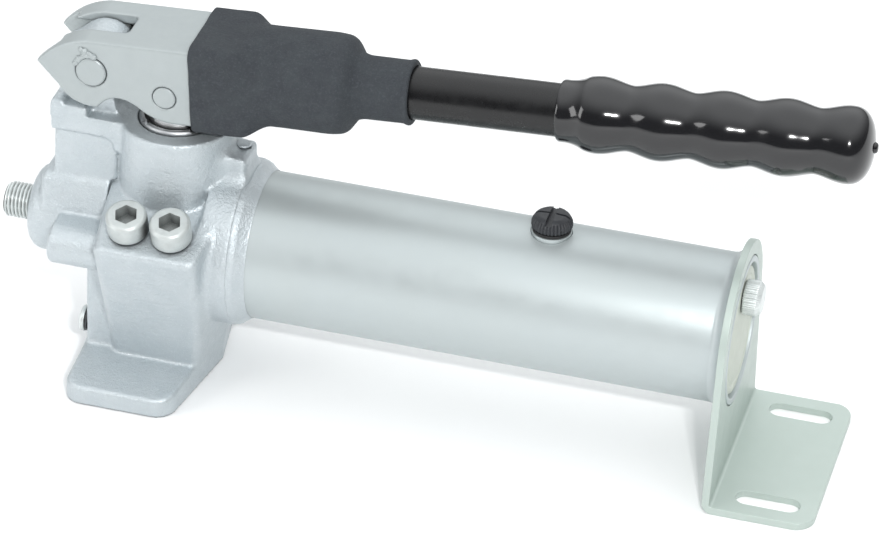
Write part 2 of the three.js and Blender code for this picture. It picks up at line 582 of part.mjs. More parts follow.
// Side view of one cheek of the channel: pointed nose, round underside about the fulcrum pin,
// a hollow that clears the head, and a straight lower edge behind the piston pin.
function cheekShape() {
  const undersideRadius = 15.2;
  const shape = new THREE.Shape();
  shape.moveTo(CHANNEL.end, CHANNEL.top);
  shape.lineTo(-2, CHANNEL.top);
  shape.quadraticCurveTo(-13, 11.6, -21.4, 2.2);
  shape.lineTo(-13.5, -7.0);
  shape.absarc(0, 0, undersideRadius, Math.PI * 1.153, Math.PI * 1.54);
  shape.quadraticCurveTo(5.5, -10.2, 10.3, -10.4);
  shape.quadraticCurveTo(14.5, -10.6, 18.5, -13.8);
  shape.quadraticCurveTo(24, -18.4, 32, CHANNEL.bottom);
  shape.lineTo(CHANNEL.end, CHANNEL.bottom);
  shape.closePath();
  return shape;
}

function leverChannel() {
  const { half, sheet, top, bottom, end } = CHANNEL;
  const inside = half - sheet;
  const outer = slabXZ(cheekShape(), -half, half);
  const hollow = box(-40, end + 10, -inside, inside, bottom - 10, top - sheet);
  const noseNotch = box(-40, 12, -6.75, 6.75, -30, top + 10);
  const fulcrumHole = cylinder('y', FULCRUM.pinRadius + GAP, -30, 30, [0, 0, 0], 24);
  const pistonHole = cylinder('y', PISTON_PIN.radius + GAP, -30, 30,
    [PISTON_PIN.x, 0, PISTON_PIN.z], 20);
  return build([outer], [hollow, noseNotch, fulcrumHole, pistonHole]);
}

function handleSocket() {
  const centre = [0, 0, HANDLE_Z];
  const block = box(43, CHANNEL.end + 2, -11, 11, -13, CHANNEL.top - CHANNEL.sheet - GAP);
  const drum = cylinder('x', SOCKET_RADIUS, CHANNEL.end + GAP, 94, centre);
  const bore = cylinder('x', HANDLE_RADIUS + GAP, 30, 110, centre, 24);
  return build([block, drum], [bore]);
}

function leverSleeve() {
  const { start, boxEnd, drumEnd, neckStart, end } = SLEEVE;
  const centre = [0, 0, HANDLE_Z];
  const shell = slabYZ(roundedRectangle(-19.2, 19.2, -21.2, 15.4, 4), start, boxEnd);
  const drum = turned('x', [
    [0, boxEnd - 4], [17, boxEnd - 4], [19, boxEnd], [19.1, drumEnd - 6], [18.2, drumEnd - 1.5],
    [13.2, neckStart + 1], [12.1, neckStart + 4], [12, end - 2], [12.4, end - 0.8], [12.2, end],
    [0, end],
  ], centre, 24);
  const channelRoom = box(start - 5, CHANNEL.end + GAP, -CHANNEL.half - GAP, CHANNEL.half + GAP,
    CHANNEL.bottom - GAP, CHANNEL.top + GAP);
  const drumRoom = cylinder('x', SOCKET_RADIUS + GAP, CHANNEL.end, 94 + GAP, centre);
  const tubeRoom = cylinder('x', HANDLE_RADIUS + GAP, 80, end + 5, centre, 24);
  return build([shell, drum], [channelRoom, drumRoom, tubeRoom]);
}

// Dipped grip: a short plain collar, then a row of finger bulges and a rounded end.
function leverGrip() {
  const profile = [[0, GRIP.start], [11.6, GRIP.start], [11.7, GRIP.start + 2]];
  const bulgeRadius = 14.5;
  const valleyRadius = 12.4;
  const lastBulge = GRIP.firstBulge + (GRIP.bulges - 1) * GRIP.pitch;
  const stepsPerBulge = 5;
  for (let x = GRIP.firstBulge - GRIP.pitch / 3; x < lastBulge + 1; x += GRIP.pitch / stepsPerBulge) {
    const wave = (1 + Math.cos(2 * Math.PI * (x - GRIP.firstBulge) / GRIP.pitch)) / 2;
    profile.push([valleyRadius + (bulgeRadius - valleyRadius) * wave ** 0.7, x]);
  }
  profile.push([13.9, GRIP.end - 5.4], [12.2, GRIP.end - 2.9], [9, GRIP.end - 1], [5, GRIP.end - 0.2]);
  profile.push([2.2, GRIP.end], [1.4, GRIP.tip - 0.3], [0, GRIP.tip]);
  const centre = [0, 0, HANDLE_Z];
  return build([turned('x', profile, centre, 20)],
    [cylinder('x', HANDLE_RADIUS + GAP, GRIP.start - 5, GRIP.end - 4, centre, 20)]);
}

function washer(radius, from, to) {
  return ring('y', FULCRUM.pinRadius + GAP, radius, from, to, [0, 0, 0], 20);
}

addPart('lever_channel', leverChannel(), LEVER_PAINT, lever);
addPart('handle_socket', handleSocket(), LEVER_PAINT, lever);
addPart('handle_tube', build(
  [cylinder('x', HANDLE_RADIUS, 44, GRIP.end - 4.5, [0, 0, HANDLE_Z], 20)],
  [cylinder('x', HANDLE_RADIUS - 2.5, 30, GRIP.end, [0, 0, HANDLE_Z], 20)]), BLACK_PAINT, lever);
addPart('lever_sleeve', leverSleeve(), SLEEVE_RUBBER, lever);
addPart('lever_grip', leverGrip(), GRIP_VINYL, lever);
addPart('fulcrum_pin', chamferedBar('y', FULCRUM.pinRadius, -17.7, 17.7, 0.6, [0, 0, 0], 24),
  LEVER_PAINT, lever);
addPart('piston_pin', chamferedBar('y', PISTON_PIN.radius, -17.3, 17.3, 0.5,
  [PISTON_PIN.x, 0, PISTON_PIN.z], 24), LEVER_PAINT, lever);
const washerRoom = [FULCRUM.lugHalf + GAP, CHANNEL.half - CHANNEL.sheet - GAP];
addPart('fulcrum_spacer_near', washer(8.3, -washerRoom[1], -washerRoom[0]), ZINC, lever);
addPart('fulcrum_spacer_far', washer(8.3, washerRoom[0], washerRoom[1]), ZINC, lever);

export default pump;
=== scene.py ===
"""Hydraulic hand pump: the finished look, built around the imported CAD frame.

Pieces are drawn in millimetres, in the frame's own axes, and scaled to metres as they are made.
Places come from the frame's node boxes and joints; the constants below are shapes and details
that the plain CAD solids leave out.
"""

import json
import math

import bmesh
import bpy
import numpy as np
from mathutils import Matrix, Vector


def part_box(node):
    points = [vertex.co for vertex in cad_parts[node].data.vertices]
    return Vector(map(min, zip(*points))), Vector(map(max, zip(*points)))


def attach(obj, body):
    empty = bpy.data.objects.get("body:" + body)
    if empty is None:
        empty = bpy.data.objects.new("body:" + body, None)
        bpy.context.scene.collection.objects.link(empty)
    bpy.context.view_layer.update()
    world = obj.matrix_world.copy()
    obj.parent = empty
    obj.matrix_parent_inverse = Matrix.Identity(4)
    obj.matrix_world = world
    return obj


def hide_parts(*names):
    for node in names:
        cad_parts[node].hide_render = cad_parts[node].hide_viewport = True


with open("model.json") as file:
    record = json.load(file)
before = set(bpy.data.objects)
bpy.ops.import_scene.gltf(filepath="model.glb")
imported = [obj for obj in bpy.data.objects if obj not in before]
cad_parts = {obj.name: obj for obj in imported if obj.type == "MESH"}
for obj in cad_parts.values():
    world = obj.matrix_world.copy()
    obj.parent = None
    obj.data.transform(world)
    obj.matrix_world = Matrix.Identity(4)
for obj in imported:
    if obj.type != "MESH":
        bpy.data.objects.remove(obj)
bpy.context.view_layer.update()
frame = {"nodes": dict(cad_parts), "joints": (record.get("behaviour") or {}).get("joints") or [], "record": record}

MM = 0.001
AXES = {"x": (1, 2, 0), "y": (2, 0, 1), "z": (0, 1, 2)}  # two across, one along


def span(node):
    """Lowest and highest corner of a CAD node, in millimetres."""
    low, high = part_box(node)
    return np.array(low) / MM, np.array(high) / MM


def centre_of(node):
    low, high = span(node)
    return (low + high) / 2


JOINTS = {joint["name"]: joint for joint in frame["joints"]}

# --- places from the frame

TANK_LOW, TANK_HIGH = span("oil_tank")
TANK_RADIUS = (TANK_HIGH[1] - TANK_LOW[1]) / 2
TANK_Z = (TANK_LOW[2] + TANK_HIGH[2]) / 2
TANK_CENTRE = (0, 0, TANK_Z)
FULCRUM = np.array(JOINTS["lever_swing"]["pos_m"]) / MM
LEVER_RISE = math.radians(3.35)
LEVER_PLACE = Matrix.Translation(Vector(FULCRUM * MM)) @ Matrix.Rotation(-LEVER_RISE, 4, "Y")
DELIVERY_X = centre_of("delivery_cap_screw")[0]
RELIEF_X = centre_of("relief_cap_screw")[0]
VALVE_TILT = math.radians(20)
PAD_Y, PAD_Z = -32.1, 72.0
OUTLET_CENTRE = (0, 0, centre_of("outlet_union")[2])
INLET_CENTRE = (0, *centre_of("inlet_plug")[1:])
RELEASE_CENTRE = (centre_of("release_knob")[0], 0, centre_of("release_knob")[2])
GALLERY_CENTRE = (*centre_of("gallery_plug")[:2], 0)
FILLER_CENTRE = (centre_of("filler_bung")[0], 0, 0)
VENT_CENTRE = (0, 0, centre_of("vent_screw_seal")[2])
GLAND_TOP = span("gland_bush")[1][2]
CAP_FACE = span("tank_end_cap")[1][0]


def valve_place(x):
    """Where one valve's own frame lies: its pad at height 0, its chamber below."""
    return Matrix.Translation(Vector((x, PAD_Y, PAD_Z)) * MM) @ Matrix.Rotation(VALVE_TILT, 4, "X")


# --- mesh tools


def make_object(name, points, faces, crease=32):
    """A smooth-shaded object from points in millimetres, sharp where faces meet at an angle."""
    mesh = bpy.data.meshes.new(name)
    mesh.from_pydata((np.asarray(points, float) * MM).tolist(), [], list(faces))
    shell = bmesh.new()
    shell.from_mesh(mesh)
    bmesh.ops.recalc_face_normals(shell, faces=shell.faces)
    shell.to_mesh(mesh)
    shell.free()
    mesh.update()
    obj = bpy.data.objects.new(name, mesh)
    bpy.context.scene.collection.objects.link(obj)
    smooth(obj, crease)
    return obj


def smooth(obj, crease=32):
    obj.data.shade_smooth()
    obj.data.set_sharp_from_angle(angle=math.radians(crease))


def apply_modifiers(obj):
    """Replace an object's mesh with what its modifiers make of it."""
    graph = bpy.context.evaluated_depsgraph_get()
    mesh = bpy.data.meshes.new_from_object(obj.evaluated_get(graph))
    obj.modifiers.clear()
    obj.data = mesh


def combine(obj, tools, operation="DIFFERENCE"):
    """Cut, join or intersect with other objects, which are used up."""
    for tool in tools:
        step = obj.modifiers.new("step", "BOOLEAN")
        step.operation, step.solver, step.object = operation, "EXACT", tool
        apply_modifiers(obj)
        smooth(obj)
        bpy.data.objects.remove(tool)


def soften(obj, width, segments=3, angle=28):
    """Round the sharp edges, and shade the large flat faces between them flat."""
    step = obj.modifiers.new("edge", "BEVEL")
    step.width, step.segments = width * MM, segments
    step.limit_method, step.angle_limit = "ANGLE", math.radians(angle)
    step.use_clamp_overlap = True
    step.miter_outer = "MITER_ARC"
    apply_modifiers(obj)
    smooth(obj)
    obj.modifiers.new("shading", "WEIGHTED_NORMAL").keep_sharp = True
    apply_modifiers(obj)


def quadratic(start, control, end, steps=8):
    """Points on a quadratic curve, its start left out."""
    start, control, end = (np.array(point, float) for point in (start, control, end))
    return [tuple((1 - t) ** 2 * start + 2 * t * (1 - t) * control + t * t * end)
            for t in np.linspace(0, 1, steps + 1)[1:]]


def rounded(profile, radius=0.5, steps=3):
    """Replace each corner of an open outline with a short curve."""
    points = [np.array(point, float) for point in profile]
    made = [points[0]]
    for before, corner, after in zip(points, points[1:], points[2:]):
        back, ahead = before - corner, after - corner
        reach = min(radius, 0.45 * np.linalg.norm(back), 0.45 * np.linalg.norm(ahead))
        start = corner + back / np.linalg.norm(back) * reach
        end = corner + ahead / np.linalg.norm(ahead) * reach
        made += [start, *quadratic(start, corner, end, steps)]
    made.append(points[-1])
    return made


def rounded_loop(corners, radius=0.5, steps=3):
    """Replace each corner of a closed outline with a short curve."""
    middle = [(corners[0][k] + corners[-1][k]) / 2 for k in (0, 1)]
    return rounded([middle, *corners, middle], radius, steps)[:-1]


def revolve(name, axis, profile, centre=(0, 0, 0), sides=96, ripple=None, crease=32):
    """A body of revolution from (radius, height) points, low end first.

    The outline starts and ends on the axis, or else closes on itself. ripple(angle, height,
    radius) gives the radius again, for ribs, knurls and finger shapes.
    """
    across, up, along = AXES[axis]
    angles = np.arange(sides) * 2 * math.pi / sides
    points, rings = [], []
    for radius, height in profile:
        if radius < 1e-6:
            rings.append([len(points)])
            wheel = np.zeros((1, 3))
        else:
            rings.append(list(range(len(points), len(points) + sides)))
            wheel = np.zeros((sides, 3))
            reach = np.full(sides, float(radius)) if ripple is None else ripple(angles, height, radius)
            wheel[:, across] = reach * np.cos(angles)
            wheel[:, up] = reach * np.sin(angles)
        wheel[:, along] = height
        points.extend(wheel + np.array(centre, float))
    return make_object(name, points, strip(rings, closed=len(rings[0]) > 1), crease)


def bridge(low, high):
    """Faces between two rings of points, either of which may be a single point."""
    count = max(len(low), len(high))
    for i in range(count):
        j = (i + 1) % count
        if len(low) == 1:
            yield (low[0], high[j], high[i])
        elif len(high) == 1:
            yield (low[i], low[j], high[0])
        else:
            yield (low[i], low[j], high[j], high[i])


def strip(rings, closed):
    """Faces that join each ring to the next one, and the last to the first if closed."""
    following = rings[1:] + rings[:1] if closed else rings[1:]
    return [face for low, high in zip(rings, following) for face in bridge(low, high)]


def loft(name, sections, closed=False, crease=32):
    """Skin equal rings of points; closed joins the last ring to the first, else the ends cap."""
    size = len(sections[0])
    rings = [list(range(k * size, (k + 1) * size)) for k in range(len(sections))]
    faces = strip(rings, closed)
    if not closed:
        faces += [tuple(reversed(rings[0])), tuple(rings[-1])]
    return make_object(name, np.concatenate(sections), faces, crease)


def bar(axis, radius, low, high, centre=(0, 0, 0), sides=96):
    """A plain round cutter or stud."""
    return revolve("bar", axis, [(0, low), (radius, low), (radius, high), (0, high)], centre, sides)


def arc(centre, radius, start, end, steps):
    angles = np.radians(np.linspace(start, end, steps + 1))
    return [(centre[0] + radius * math.cos(a), centre[1] + radius * math.sin(a)) for a in angles]


def rounded_box_outline(x0, x1, y0, y1, radius, steps=8):
    """Counter-clockwise outline of a rectangle with round corners."""
    return (arc((x1 - radius, y0 + radius), radius, -90, 0, steps)
            + arc((x1 - radius, y1 - radius), radius, 0, 90, steps)
            + arc((x0 + radius, y1 - radius), radius, 90, 180, steps)
            + arc((x0 + radius, y0 + radius), radius, 180, 270, steps))


def slab(name, plane, outline, low, high):
    """An outline in the xy, xz or yz plane given a thickness across it."""
    first, second = ("xyz".index(letter) for letter in plane)
    across = 3 - first - second
    rings = []
    for level in (low, high):
        ring = np.zeros((len(outline), 3))
        ring[:, (first, second)] = outline
        ring[:, across] = level
        rings.append(ring)
    if plane == "xz":
        rings.reverse()
    return loft(name, rings)


def ring_section(inner, outer, low, high, edge=0.3):
    """Closed outline of a plain ring with softened corners."""
    corners = [(inner, low), (outer, low), (outer, high), (inner, high)]
    return rounded_loop(corners, edge)


# --- solids from distances


class Field:
    """A grid on which solids are signed distances in millimetres, negative inside."""

    def __init__(self, low, high, step):
        self.low, self.step = np.array(low, float), step
        counts = [int(math.ceil((b - a) / step)) + 1 for a, b in zip(low, high)]
        self.x, self.y, self.z = np.ix_(*(a + step * np.arange(n) for a, n in zip(low, counts)))

    def box(self, low, high, edge=1.5):
        x, y, z = (np.abs(values - (a + b) / 2) - (b - a) / 2
                   for values, a, b in zip((self.x, self.y, self.z), low, high))
        return overlap(overlap(x, y, edge), z, edge)

    def rod(self, axis, radius, low, high, centre=(0, 0, 0), edge=1.0):
        across, up, along = AXES[axis]
        values = (self.x, self.y, self.z)
        wall = np.hypot(values[across] - centre[across], values[up] - centre[up]) - radius
        ends = np.abs(values[along] - (low + high) / 2) - (high - low) / 2
        return overlap(wall, ends, edge)

    def tilted(self, x):
        """The same grid measured in one valve's own frame."""
        other = Field.__new__(Field)
        sine, cosine = math.sin(VALVE_TILT), math.cos(VALVE_TILT)
        other.x = self.x - x
        other.y = (self.y - PAD_Y) * cosine + (self.z - PAD_Z) * sine
        other.z = (self.z - PAD_Z) * cosine - (self.y - PAD_Y) * sine
        return other

    def outline(self, points):
        """Distance to a closed outline in the xz plane, negative inside."""
        x, z = self.x[:, 0, :] + 0 * self.z[0], self.z[0] + 0 * self.x[:, 0, :]
        nearest, inside = np.full(x.shape, 1e9), np.zeros(x.shape, bool)
        for (x0, z0), (x1, z1) in zip(points, points[1:] + points[:1]):
            run, rise = x1 - x0, z1 - z0
            share = np.clip(((x - x0) * run + (z - z0) * rise) / max(run ** 2 + rise ** 2, 1e-9), 0, 1)
            nearest = np.minimum(nearest, np.hypot(x - x0 - share * run, z - z0 - share * rise))
            if z0 != z1:
                inside ^= ((z0 > z) != (z1 > z)) & (x < x0 + run * (z - z0) / rise)
        return np.where(inside, -nearest, nearest)[:, None, :]

    def side(self, point, normal):
        """Half space behind a plane, given by a point on it and its outward normal."""
        normal = np.array(normal, float) / np.linalg.norm(normal)
        return ((self.x - point[0]) * normal[0] + (self.y - point[1]) * normal[1]
                + (self.z - point[2]) * normal[2])


def join(a, b, fillet=0.0):
    """Union with a round fillet in the corner."""
    if not fillet:
        return np.minimum(a, b)
    u, v = np.maximum(fillet - a, 0), np.maximum(fillet - b, 0)
    return np.maximum(fillet, np.minimum(a, b)) - np.hypot(u, v)


def overlap(a, b, edge=0.0):
    """Intersection with a rounded edge."""
    if not edge:
        return np.maximum(a, b)
    u, v = np.maximum(edge + a, 0), np.maximum(edge + b, 0)
    return np.minimum(-edge, np.maximum(a, b)) + np.hypot(u, v)


def carve(a, tool, edge=0.0):
    return overlap(a, -tool, edge)


def skin(name, field, values, crease=180):
    """The surface of a distance field, one vertex in each grid cell that it crosses."""
    inside = values < 0
    corners = [(i, j, k) for i in (0, 1) for j in (0, 1) for k in (0, 1)]
    nx, ny, nz = (n - 1 for n in values.shape)
    filled = sum(inside[i:nx + i, j:ny + j, k:nz + k].astype(np.int8) for i, j, k in corners)
    mixed = (filled > 0) & (filled < 8)
    cells = np.argwhere(mixed)
    number = np.full(mixed.shape, -1, np.int64)
    number[mixed] = np.arange(len(cells))
    level = [values[tuple((cells + corner).T)] for corner in corners]
    total, count = np.zeros((len(cells), 3)), np.zeros(len(cells))
    for a, b in [(a, b) for a in range(8) for b in range(a + 1, 8)
                 if sum(abs(p - q) for p, q in zip(corners[a], corners[b])) == 1]:
        crossed = (level[a] < 0) != (level[b] < 0)
        t = level[a][crossed] / (level[a][crossed] - level[b][crossed])
        step = np.array(corners[b], float) - corners[a]
        total[crossed] += np.array(corners[a]) + t[:, None] * step
        count[crossed] += 1
    points = field.low + field.step * (cells + total / count[:, None])
    faces = []
    for axis in range(3):
        one, two = (axis + 1) % 3, (axis + 2) % 3
        here = tuple(slice(0, n - (k == axis)) for k, n in enumerate(values.shape))
        there = tuple(slice(int(k == axis), n) for k, n in enumerate(values.shape))
        for edges, flip in ((inside[here] & ~inside[there], False),
                            (~inside[here] & inside[there], True)):
            at = np.argwhere(edges)
            at = at[(at[:, one] > 0) & (at[:, two] > 0)]
            around = []
            for shift_one, shift_two in ((1, 1), (0, 1), (0, 0), (1, 0)):
                cell = at.copy()
                cell[:, one] -= shift_one
                cell[:, two] -= shift_two
                around.append(number[tuple(cell.T)])
            quads = np.stack(around, axis=1)
            faces.append(quads[:, ::-1] if flip else quads)
    return make_object(name, points, np.concatenate(faces).tolist(), crease)


def roughen(obj, height, wavelength, seed, waves=48):
    """Push the surface in and out by a soft random relief, heights and lengths in millimetres."""
    draw = np.random.default_rng(seed)
    mesh = obj.data
    points = np.empty(len(mesh.vertices) * 3)
    mesh.vertices.foreach_get("co", points)
    normals = np.empty(len(mesh.vertices) * 3)
    mesh.vertices.foreach_get("normal", normals)
    points, normals = points.reshape(-1, 3) / MM, normals.reshape(-1, 3)
    directions = draw.standard_normal((waves, 3))
    directions /= np.linalg.norm(directions, axis=1)[:, None]
    lengths = wavelength * draw.uniform(0.7, 1.6, waves)
    relief = np.zeros(len(points))
    for direction, length, phase in zip(directions, lengths, draw.uniform(0, 2 * math.pi, waves)):
        relief += np.sin(points @ direction * (2 * math.pi / length) + phase)
    relief *= height / math.sqrt(waves / 2)
    points += normals * relief[:, None]
    mesh.vertices.foreach_set("co", (points * MM).ravel())
    mesh.update()


# --- materials


def linear(red, green, blue):
    """A colour given as 0 to 255 screen values."""
    shares = [value / 255 for value in (red, green, blue)]
    return [s / 12.92 if s <= 0.04045 else ((s + 0.055) / 1.055) ** 2.4 for s in shares] + [1]


class Finish:
    """A node material: one Principled shader with colour, roughness and bump patterns."""

    def __init__(self, name, colour, roughness, metallic=0.0, coat=0.0, coat_roughness=0.1):
        self.material = bpy.data.materials.new(name)
        self.material.use_nodes = True
        self.nodes, self.links = self.material.node_tree.nodes, self.material.node_tree.links
        self.shader = self.nodes["Principled BSDF"]
        self.colour, self.roughness = colour, roughness
        for socket, value in (("Base Color", colour), ("Roughness", roughness), ("Metallic", metallic),
                              ("Coat Weight", coat), ("Coat Roughness", coat_roughness)):
            self.shader.inputs[socket].default_value = value
        self.place = self.nodes.new("ShaderNodeTexCoord").outputs["Object"]

    def node(self, kind, **sockets):
        """A new node. A socket is set to a number or tuple, or linked to another node's output."""
        made = self.nodes.new(kind)
        for name, value in sockets.items():
            if isinstance(value, bpy.types.NodeSocket):
                self.links.new(value, made.inputs[name])
            else:
                made.inputs[name].default_value = value
        return made

    def noise(self, size, detail=3.0, stretch=(1, 1, 1)):
        """Noise whose features are about size millimetres across."""
        mapping = self.node("ShaderNodeMapping", Scale=stretch, Vector=self.place)
        return self.node("ShaderNodeTexNoise", Scale=1 / (size * MM), Detail=detail,
                         Vector=mapping.outputs["Vector"]).outputs["Fac"]

    def spread(self, value, low, high, to_low, to_high):
        """Map a value from one range to another, held within it."""
        ends = {"From Min": low, "From Max": high, "To Min": to_low, "To Max": to_high}
        return self.node("ShaderNodeMapRange", Value=value, **ends).outputs["Result"]

    def tint(self, factor, colour):
        """Lay a second colour over the base where factor is high."""
        mix = self.nodes.new("ShaderNodeMix")
        mix.data_type = "RGBA"
        base = self.shader.inputs["Base Color"]
        if base.is_linked:
            self.links.new(base.links[0].from_socket, mix.inputs["A"])
        else:
            mix.inputs["A"].default_value = self.colour
        mix.inputs["B"].default_value = colour
        self.links.new(factor, mix.inputs["Factor"])
        self.links.new(mix.outputs["Result"], base)
        return self

    def patches(self, size, share, colour, low=0.4, high=0.7, detail=3.0, stretch=(1, 1, 1)):
        """Lay soft patches of a second colour, about size millimetres across, over the base."""
        pattern = self.noise(size, detail, stretch)
        return self.tint(self.spread(pattern, low, high, 0, share), linear(*colour))

    def vary_roughness(self, size, amount):
        made = self.spread(self.noise(size), 0.3, 0.7, self.roughness - amount, self.roughness + amount)
        self.links.new(made, self.shader.inputs["Roughness"])
        return self

    def bump(self, height, size, detail=3.0, stretch=(1, 1, 1)):
        """Relief in millimetres, laid over any relief that is already there."""
        node = self.node("ShaderNodeBump", Distance=height * MM, Strength=1.0,
                         Height=self.noise(size, detail, stretch))
        normal = self.shader.inputs["Normal"]
        if normal.is_linked:
            self.links.new(normal.links[0].from_socket, node.inputs["Normal"])
        self.links.new(node.outputs["Normal"], normal)
        return self

    def hollow_shade(self, reach):
        """High in crevices and sockets narrower than reach millimetres; it drives the painted shade there."""
        node = self.node("ShaderNodeAmbientOcclusion", Distance=reach * MM)
        node.samples = 6
        return self.spread(node.outputs["AO"], 0.25, 0.85, 1, 0)

    def edges(self):
        """High on outside edges, low in inside corners; it drives the painted edge highlight, partly edge wear."""
        return self.node("ShaderNodeNewGeometry").outputs["Pointiness"]


def cast_paint():
    look = Finish("cast_paint_look", linear(190, 198, 202), 0.42, metallic=0.6)
    look.patches(9, 0.4, (203, 209, 212), 0.35)
    look.patches(0.5, 0.6, (222, 227, 230), 0.60, 0.75, detail=2)
    # painted highlight, partly edge wear: outside edges made lighter
    look.tint(look.spread(look.edges(), 0.53, 0.64, 0, 0.4), linear(214, 219, 222))
    # painted shade: crevices, slits and narrow recesses made darker where shade falls
    look.tint(look.hollow_shade(1.2), linear(112, 120, 124))
    look.vary_roughness(2.5, 0.08)
    look.bump(0.28, 1.1, 3).bump(0.2, 0.5, 2)
    return look.material


def lever_paint():
    look = Finish("lever_paint_look", linear(168, 175, 176), 0.45, metallic=0.4)
    look.patches(8, 0.3, (174, 181, 181))
    # painted highlight, partly edge wear: outside edges made lighter
    look.tint(look.spread(look.edges(), 0.53, 0.62, 0, 0.6), linear(208, 214, 214))
    # painted shade: crevices and inside corners made darker where shade falls
    look.tint(look.hollow_shade(1.2), linear(120, 126, 128))
    look.vary_roughness(3, 0.06)
    look.bump(0.05, 1.1, 3).bump(0.02, 0.35, 2)
    return look.material


def sleeve_rubber():
    look = Finish("sleeve_rubber_look", linear(48, 52, 57), 0.85)
    look.patches(6, 0.5, (60, 66, 69), 0.35)
    look.patches(0.7, 0.4, (70, 75, 81), 0.52, 0.68, detail=2)
    look.patches(0.6, 0.3, (46, 49, 54), 0.48, 0.36, detail=2, stretch=(1.1, 0.9, 1.2))
    look.vary_roughness(1.5, 0.08)
    look.bump(0.2, 0.8, 3).bump(0.08, 0.35, 2)
    return look.material


def mottled(name, colour, roughness, patches, variation, grains, **shader):
    """Paint, vinyl, plastic or rubber: patches of a second colour, uneven gloss and fine relief.

    patches holds their size, share and colour; variation the size and amount of the change in
    roughness; and each grain its height, size and level of detail.
    """
    look = Finish(name, linear(*colour), roughness, **shader)
    look.patches(*patches).vary_roughness(*variation)
    for grain in grains:
        look.bump(*grain)
    return look.material


def darker(colour, share):
    return [share * value for value in colour[:3]] + [1]


def plated(name, colour, roughness, hollow):
    look = Finish(name, colour, roughness, metallic=0.65)
    look.tint(look.spread(look.noise(3.5), 0.45, 0.75, 0, 0.35), darker(colour, 0.72))
    # painted shade: sockets and narrow hollows made much darker, as if in shadow
    look.tint(look.hollow_shade(hollow), darker(colour, 0.16))
    look.vary_roughness(1.5, 0.08)
    look.bump(0.008, 0.5, 3)
    return look.material


def turned_metal(name, colour, roughness):
    look = Finish(name, colour, roughness, metallic=1.0)
    look.tint(look.spread(look.noise(4), 0.4, 0.7, 0, 0.3), darker(colour, 0.8))
    look.vary_roughness(2, 0.05)
    look.bump(0.004, 0.3, 2, stretch=(1, 1, 6))
    return look.material


LOOKS = {
    "cast_paint": cast_paint(),
    "lever_paint": lever_paint(),
    "sleeve_rubber": sleeve_rubber(),
    "tank_paint": mottled("tank_paint_look", (186, 194, 195), 0.45, (30, 0.3, (185, 192, 191)),
                          (6, 0.04), [(0.018, 1.3, 2), (0.006, 0.35, 2)], metallic=0.5),
    "bracket_paint": mottled("bracket_paint_look", (182, 194, 188), 0.42, (22, 0.3, (188, 199, 194)),
                             (5, 0.05), [(0.02, 1.2, 2), (0.006, 0.4, 2)], metallic=0.3),
    "cap_face": mottled("cap_face_look", (192, 199, 188), 0.5, (5, 0.4, (184, 190, 180)),
                        (4, 0.06), [(0.02, 1.0, 3)], metallic=0.05),
    "black_paint": mottled("black_paint_look", (7, 7, 9), 0.28, (12, 0.5, (14, 14, 16)),
                           (4, 0.05), [(0.012, 1.5, 2)]),
    "grip_vinyl": mottled("grip_vinyl_look", (14, 14, 17), 0.12, (20, 0.5, (20, 20, 23)),
                          (8, 0.03), [(0.05, 9, 1), (0.006, 2.2, 2)], coat=0.45, coat_roughness=0.04),
    "black_plastic": mottled("black_plastic_look", (44, 46, 50), 0.48, (4, 0.5, (54, 56, 60)),
                             (1.5, 0.06), [(0.02, 0.5, 3)]),
    "seal_rubber": mottled("seal_rubber_look", (24, 24, 25), 0.55, (2, 0.5, (36, 36, 37)),
                           (1.5, 0.08), [(0.01, 0.4, 2)]),
    # hollow: how far into a socket the painted shade reaches, in millimetres
    "cap_screw_zinc": plated("cap_screw_zinc_look", linear(202, 207, 206), 0.48, hollow=6.0),
    "zinc": plated("zinc_look", linear(222, 227, 226), 0.4, hollow=1.0),
    "steel": turned_metal("steel_look", linear(196, 198, 200), 0.45),
    "hard_chrome": turned_metal("hard_chrome_look", linear(226, 226, 226), 0.4),
    "bronze": turned_metal("bronze_look", linear(176, 134, 78), 0.35),
    "dark_washer": turned_metal("dark_washer_look", linear(88, 90, 92), 0.4),
}


OWN_FRAME = {"lever": LEVER_PLACE}  # the lever's pieces are drawn in the lever's own frame


def add(obj, name, body, slot, *stands_for, place=None):
    """Name a finished piece, give it its look, and hang it on its body."""
    obj.name = obj.data.name = name
    obj.data.materials.clear()
    obj.data.materials.append(LOOKS[slot])
    place = place or OWN_FRAME.get(body)
    if place:
        obj.data.transform(place)
    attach(obj, body)
    if stands_for:
        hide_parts(*stands_for)


def turned(name, body, slot, node, axis, profile, centre=(0, 0, 0), sides=96, cutters=(), place=None,
           **shape):
    """Add a body of revolution in place of a CAD node, cut first by any other objects given."""
    obj = revolve("turned", axis, profile, centre, sides, **shape)
    combine(obj, cutters)
    add(obj, name, body, slot, node, place=place)


# --- camera, light and floor


def facing(place, target):
    """Where a camera or lamp is, turned so that it looks at a target."""
    aim = Vector(target) - Vector(place)
    return Matrix.Translation(Vector(place)) @ aim.to_track_quat("-Z", "Y").to_matrix().to_4x4()


def set_camera(azimuth=13.71, elevation=32.44, roll=2.76, distance=1787.6, lens=191.84):
    """Look at the middle of the pump from the front, a little from the right and above."""
    target = Vector((105.7, 0, 60.1)) * MM
    a, e = math.radians(azimuth), math.radians(elevation)
    back = Vector((math.sin(a) * math.cos(e), -math.cos(a) * math.cos(e), math.sin(e)))
    data = bpy.data.cameras.new("camera")
    data.sensor_width, data.lens = 36, lens
    data.clip_start, data.clip_end = 0.05, 20
    camera = bpy.data.objects.new("camera", data)
    camera.matrix_world = (facing(target + back * distance * MM, target)
                           @ Matrix.Rotation(math.radians(roll), 4, "Z"))
    bpy.context.scene.collection.objects.link(camera)
    bpy.context.scene.camera = camera


def add_light(name, place, target, size, power):
    data = bpy.data.lights.new(name, "AREA")
    data.shape, data.size, data.size_y = "RECTANGLE", size[0], size[1]
    data.energy = power
    light = bpy.data.objects.new(name, data)
    light.matrix_world = facing(place, target)
    bpy.context.scene.collection.objects.link(light)


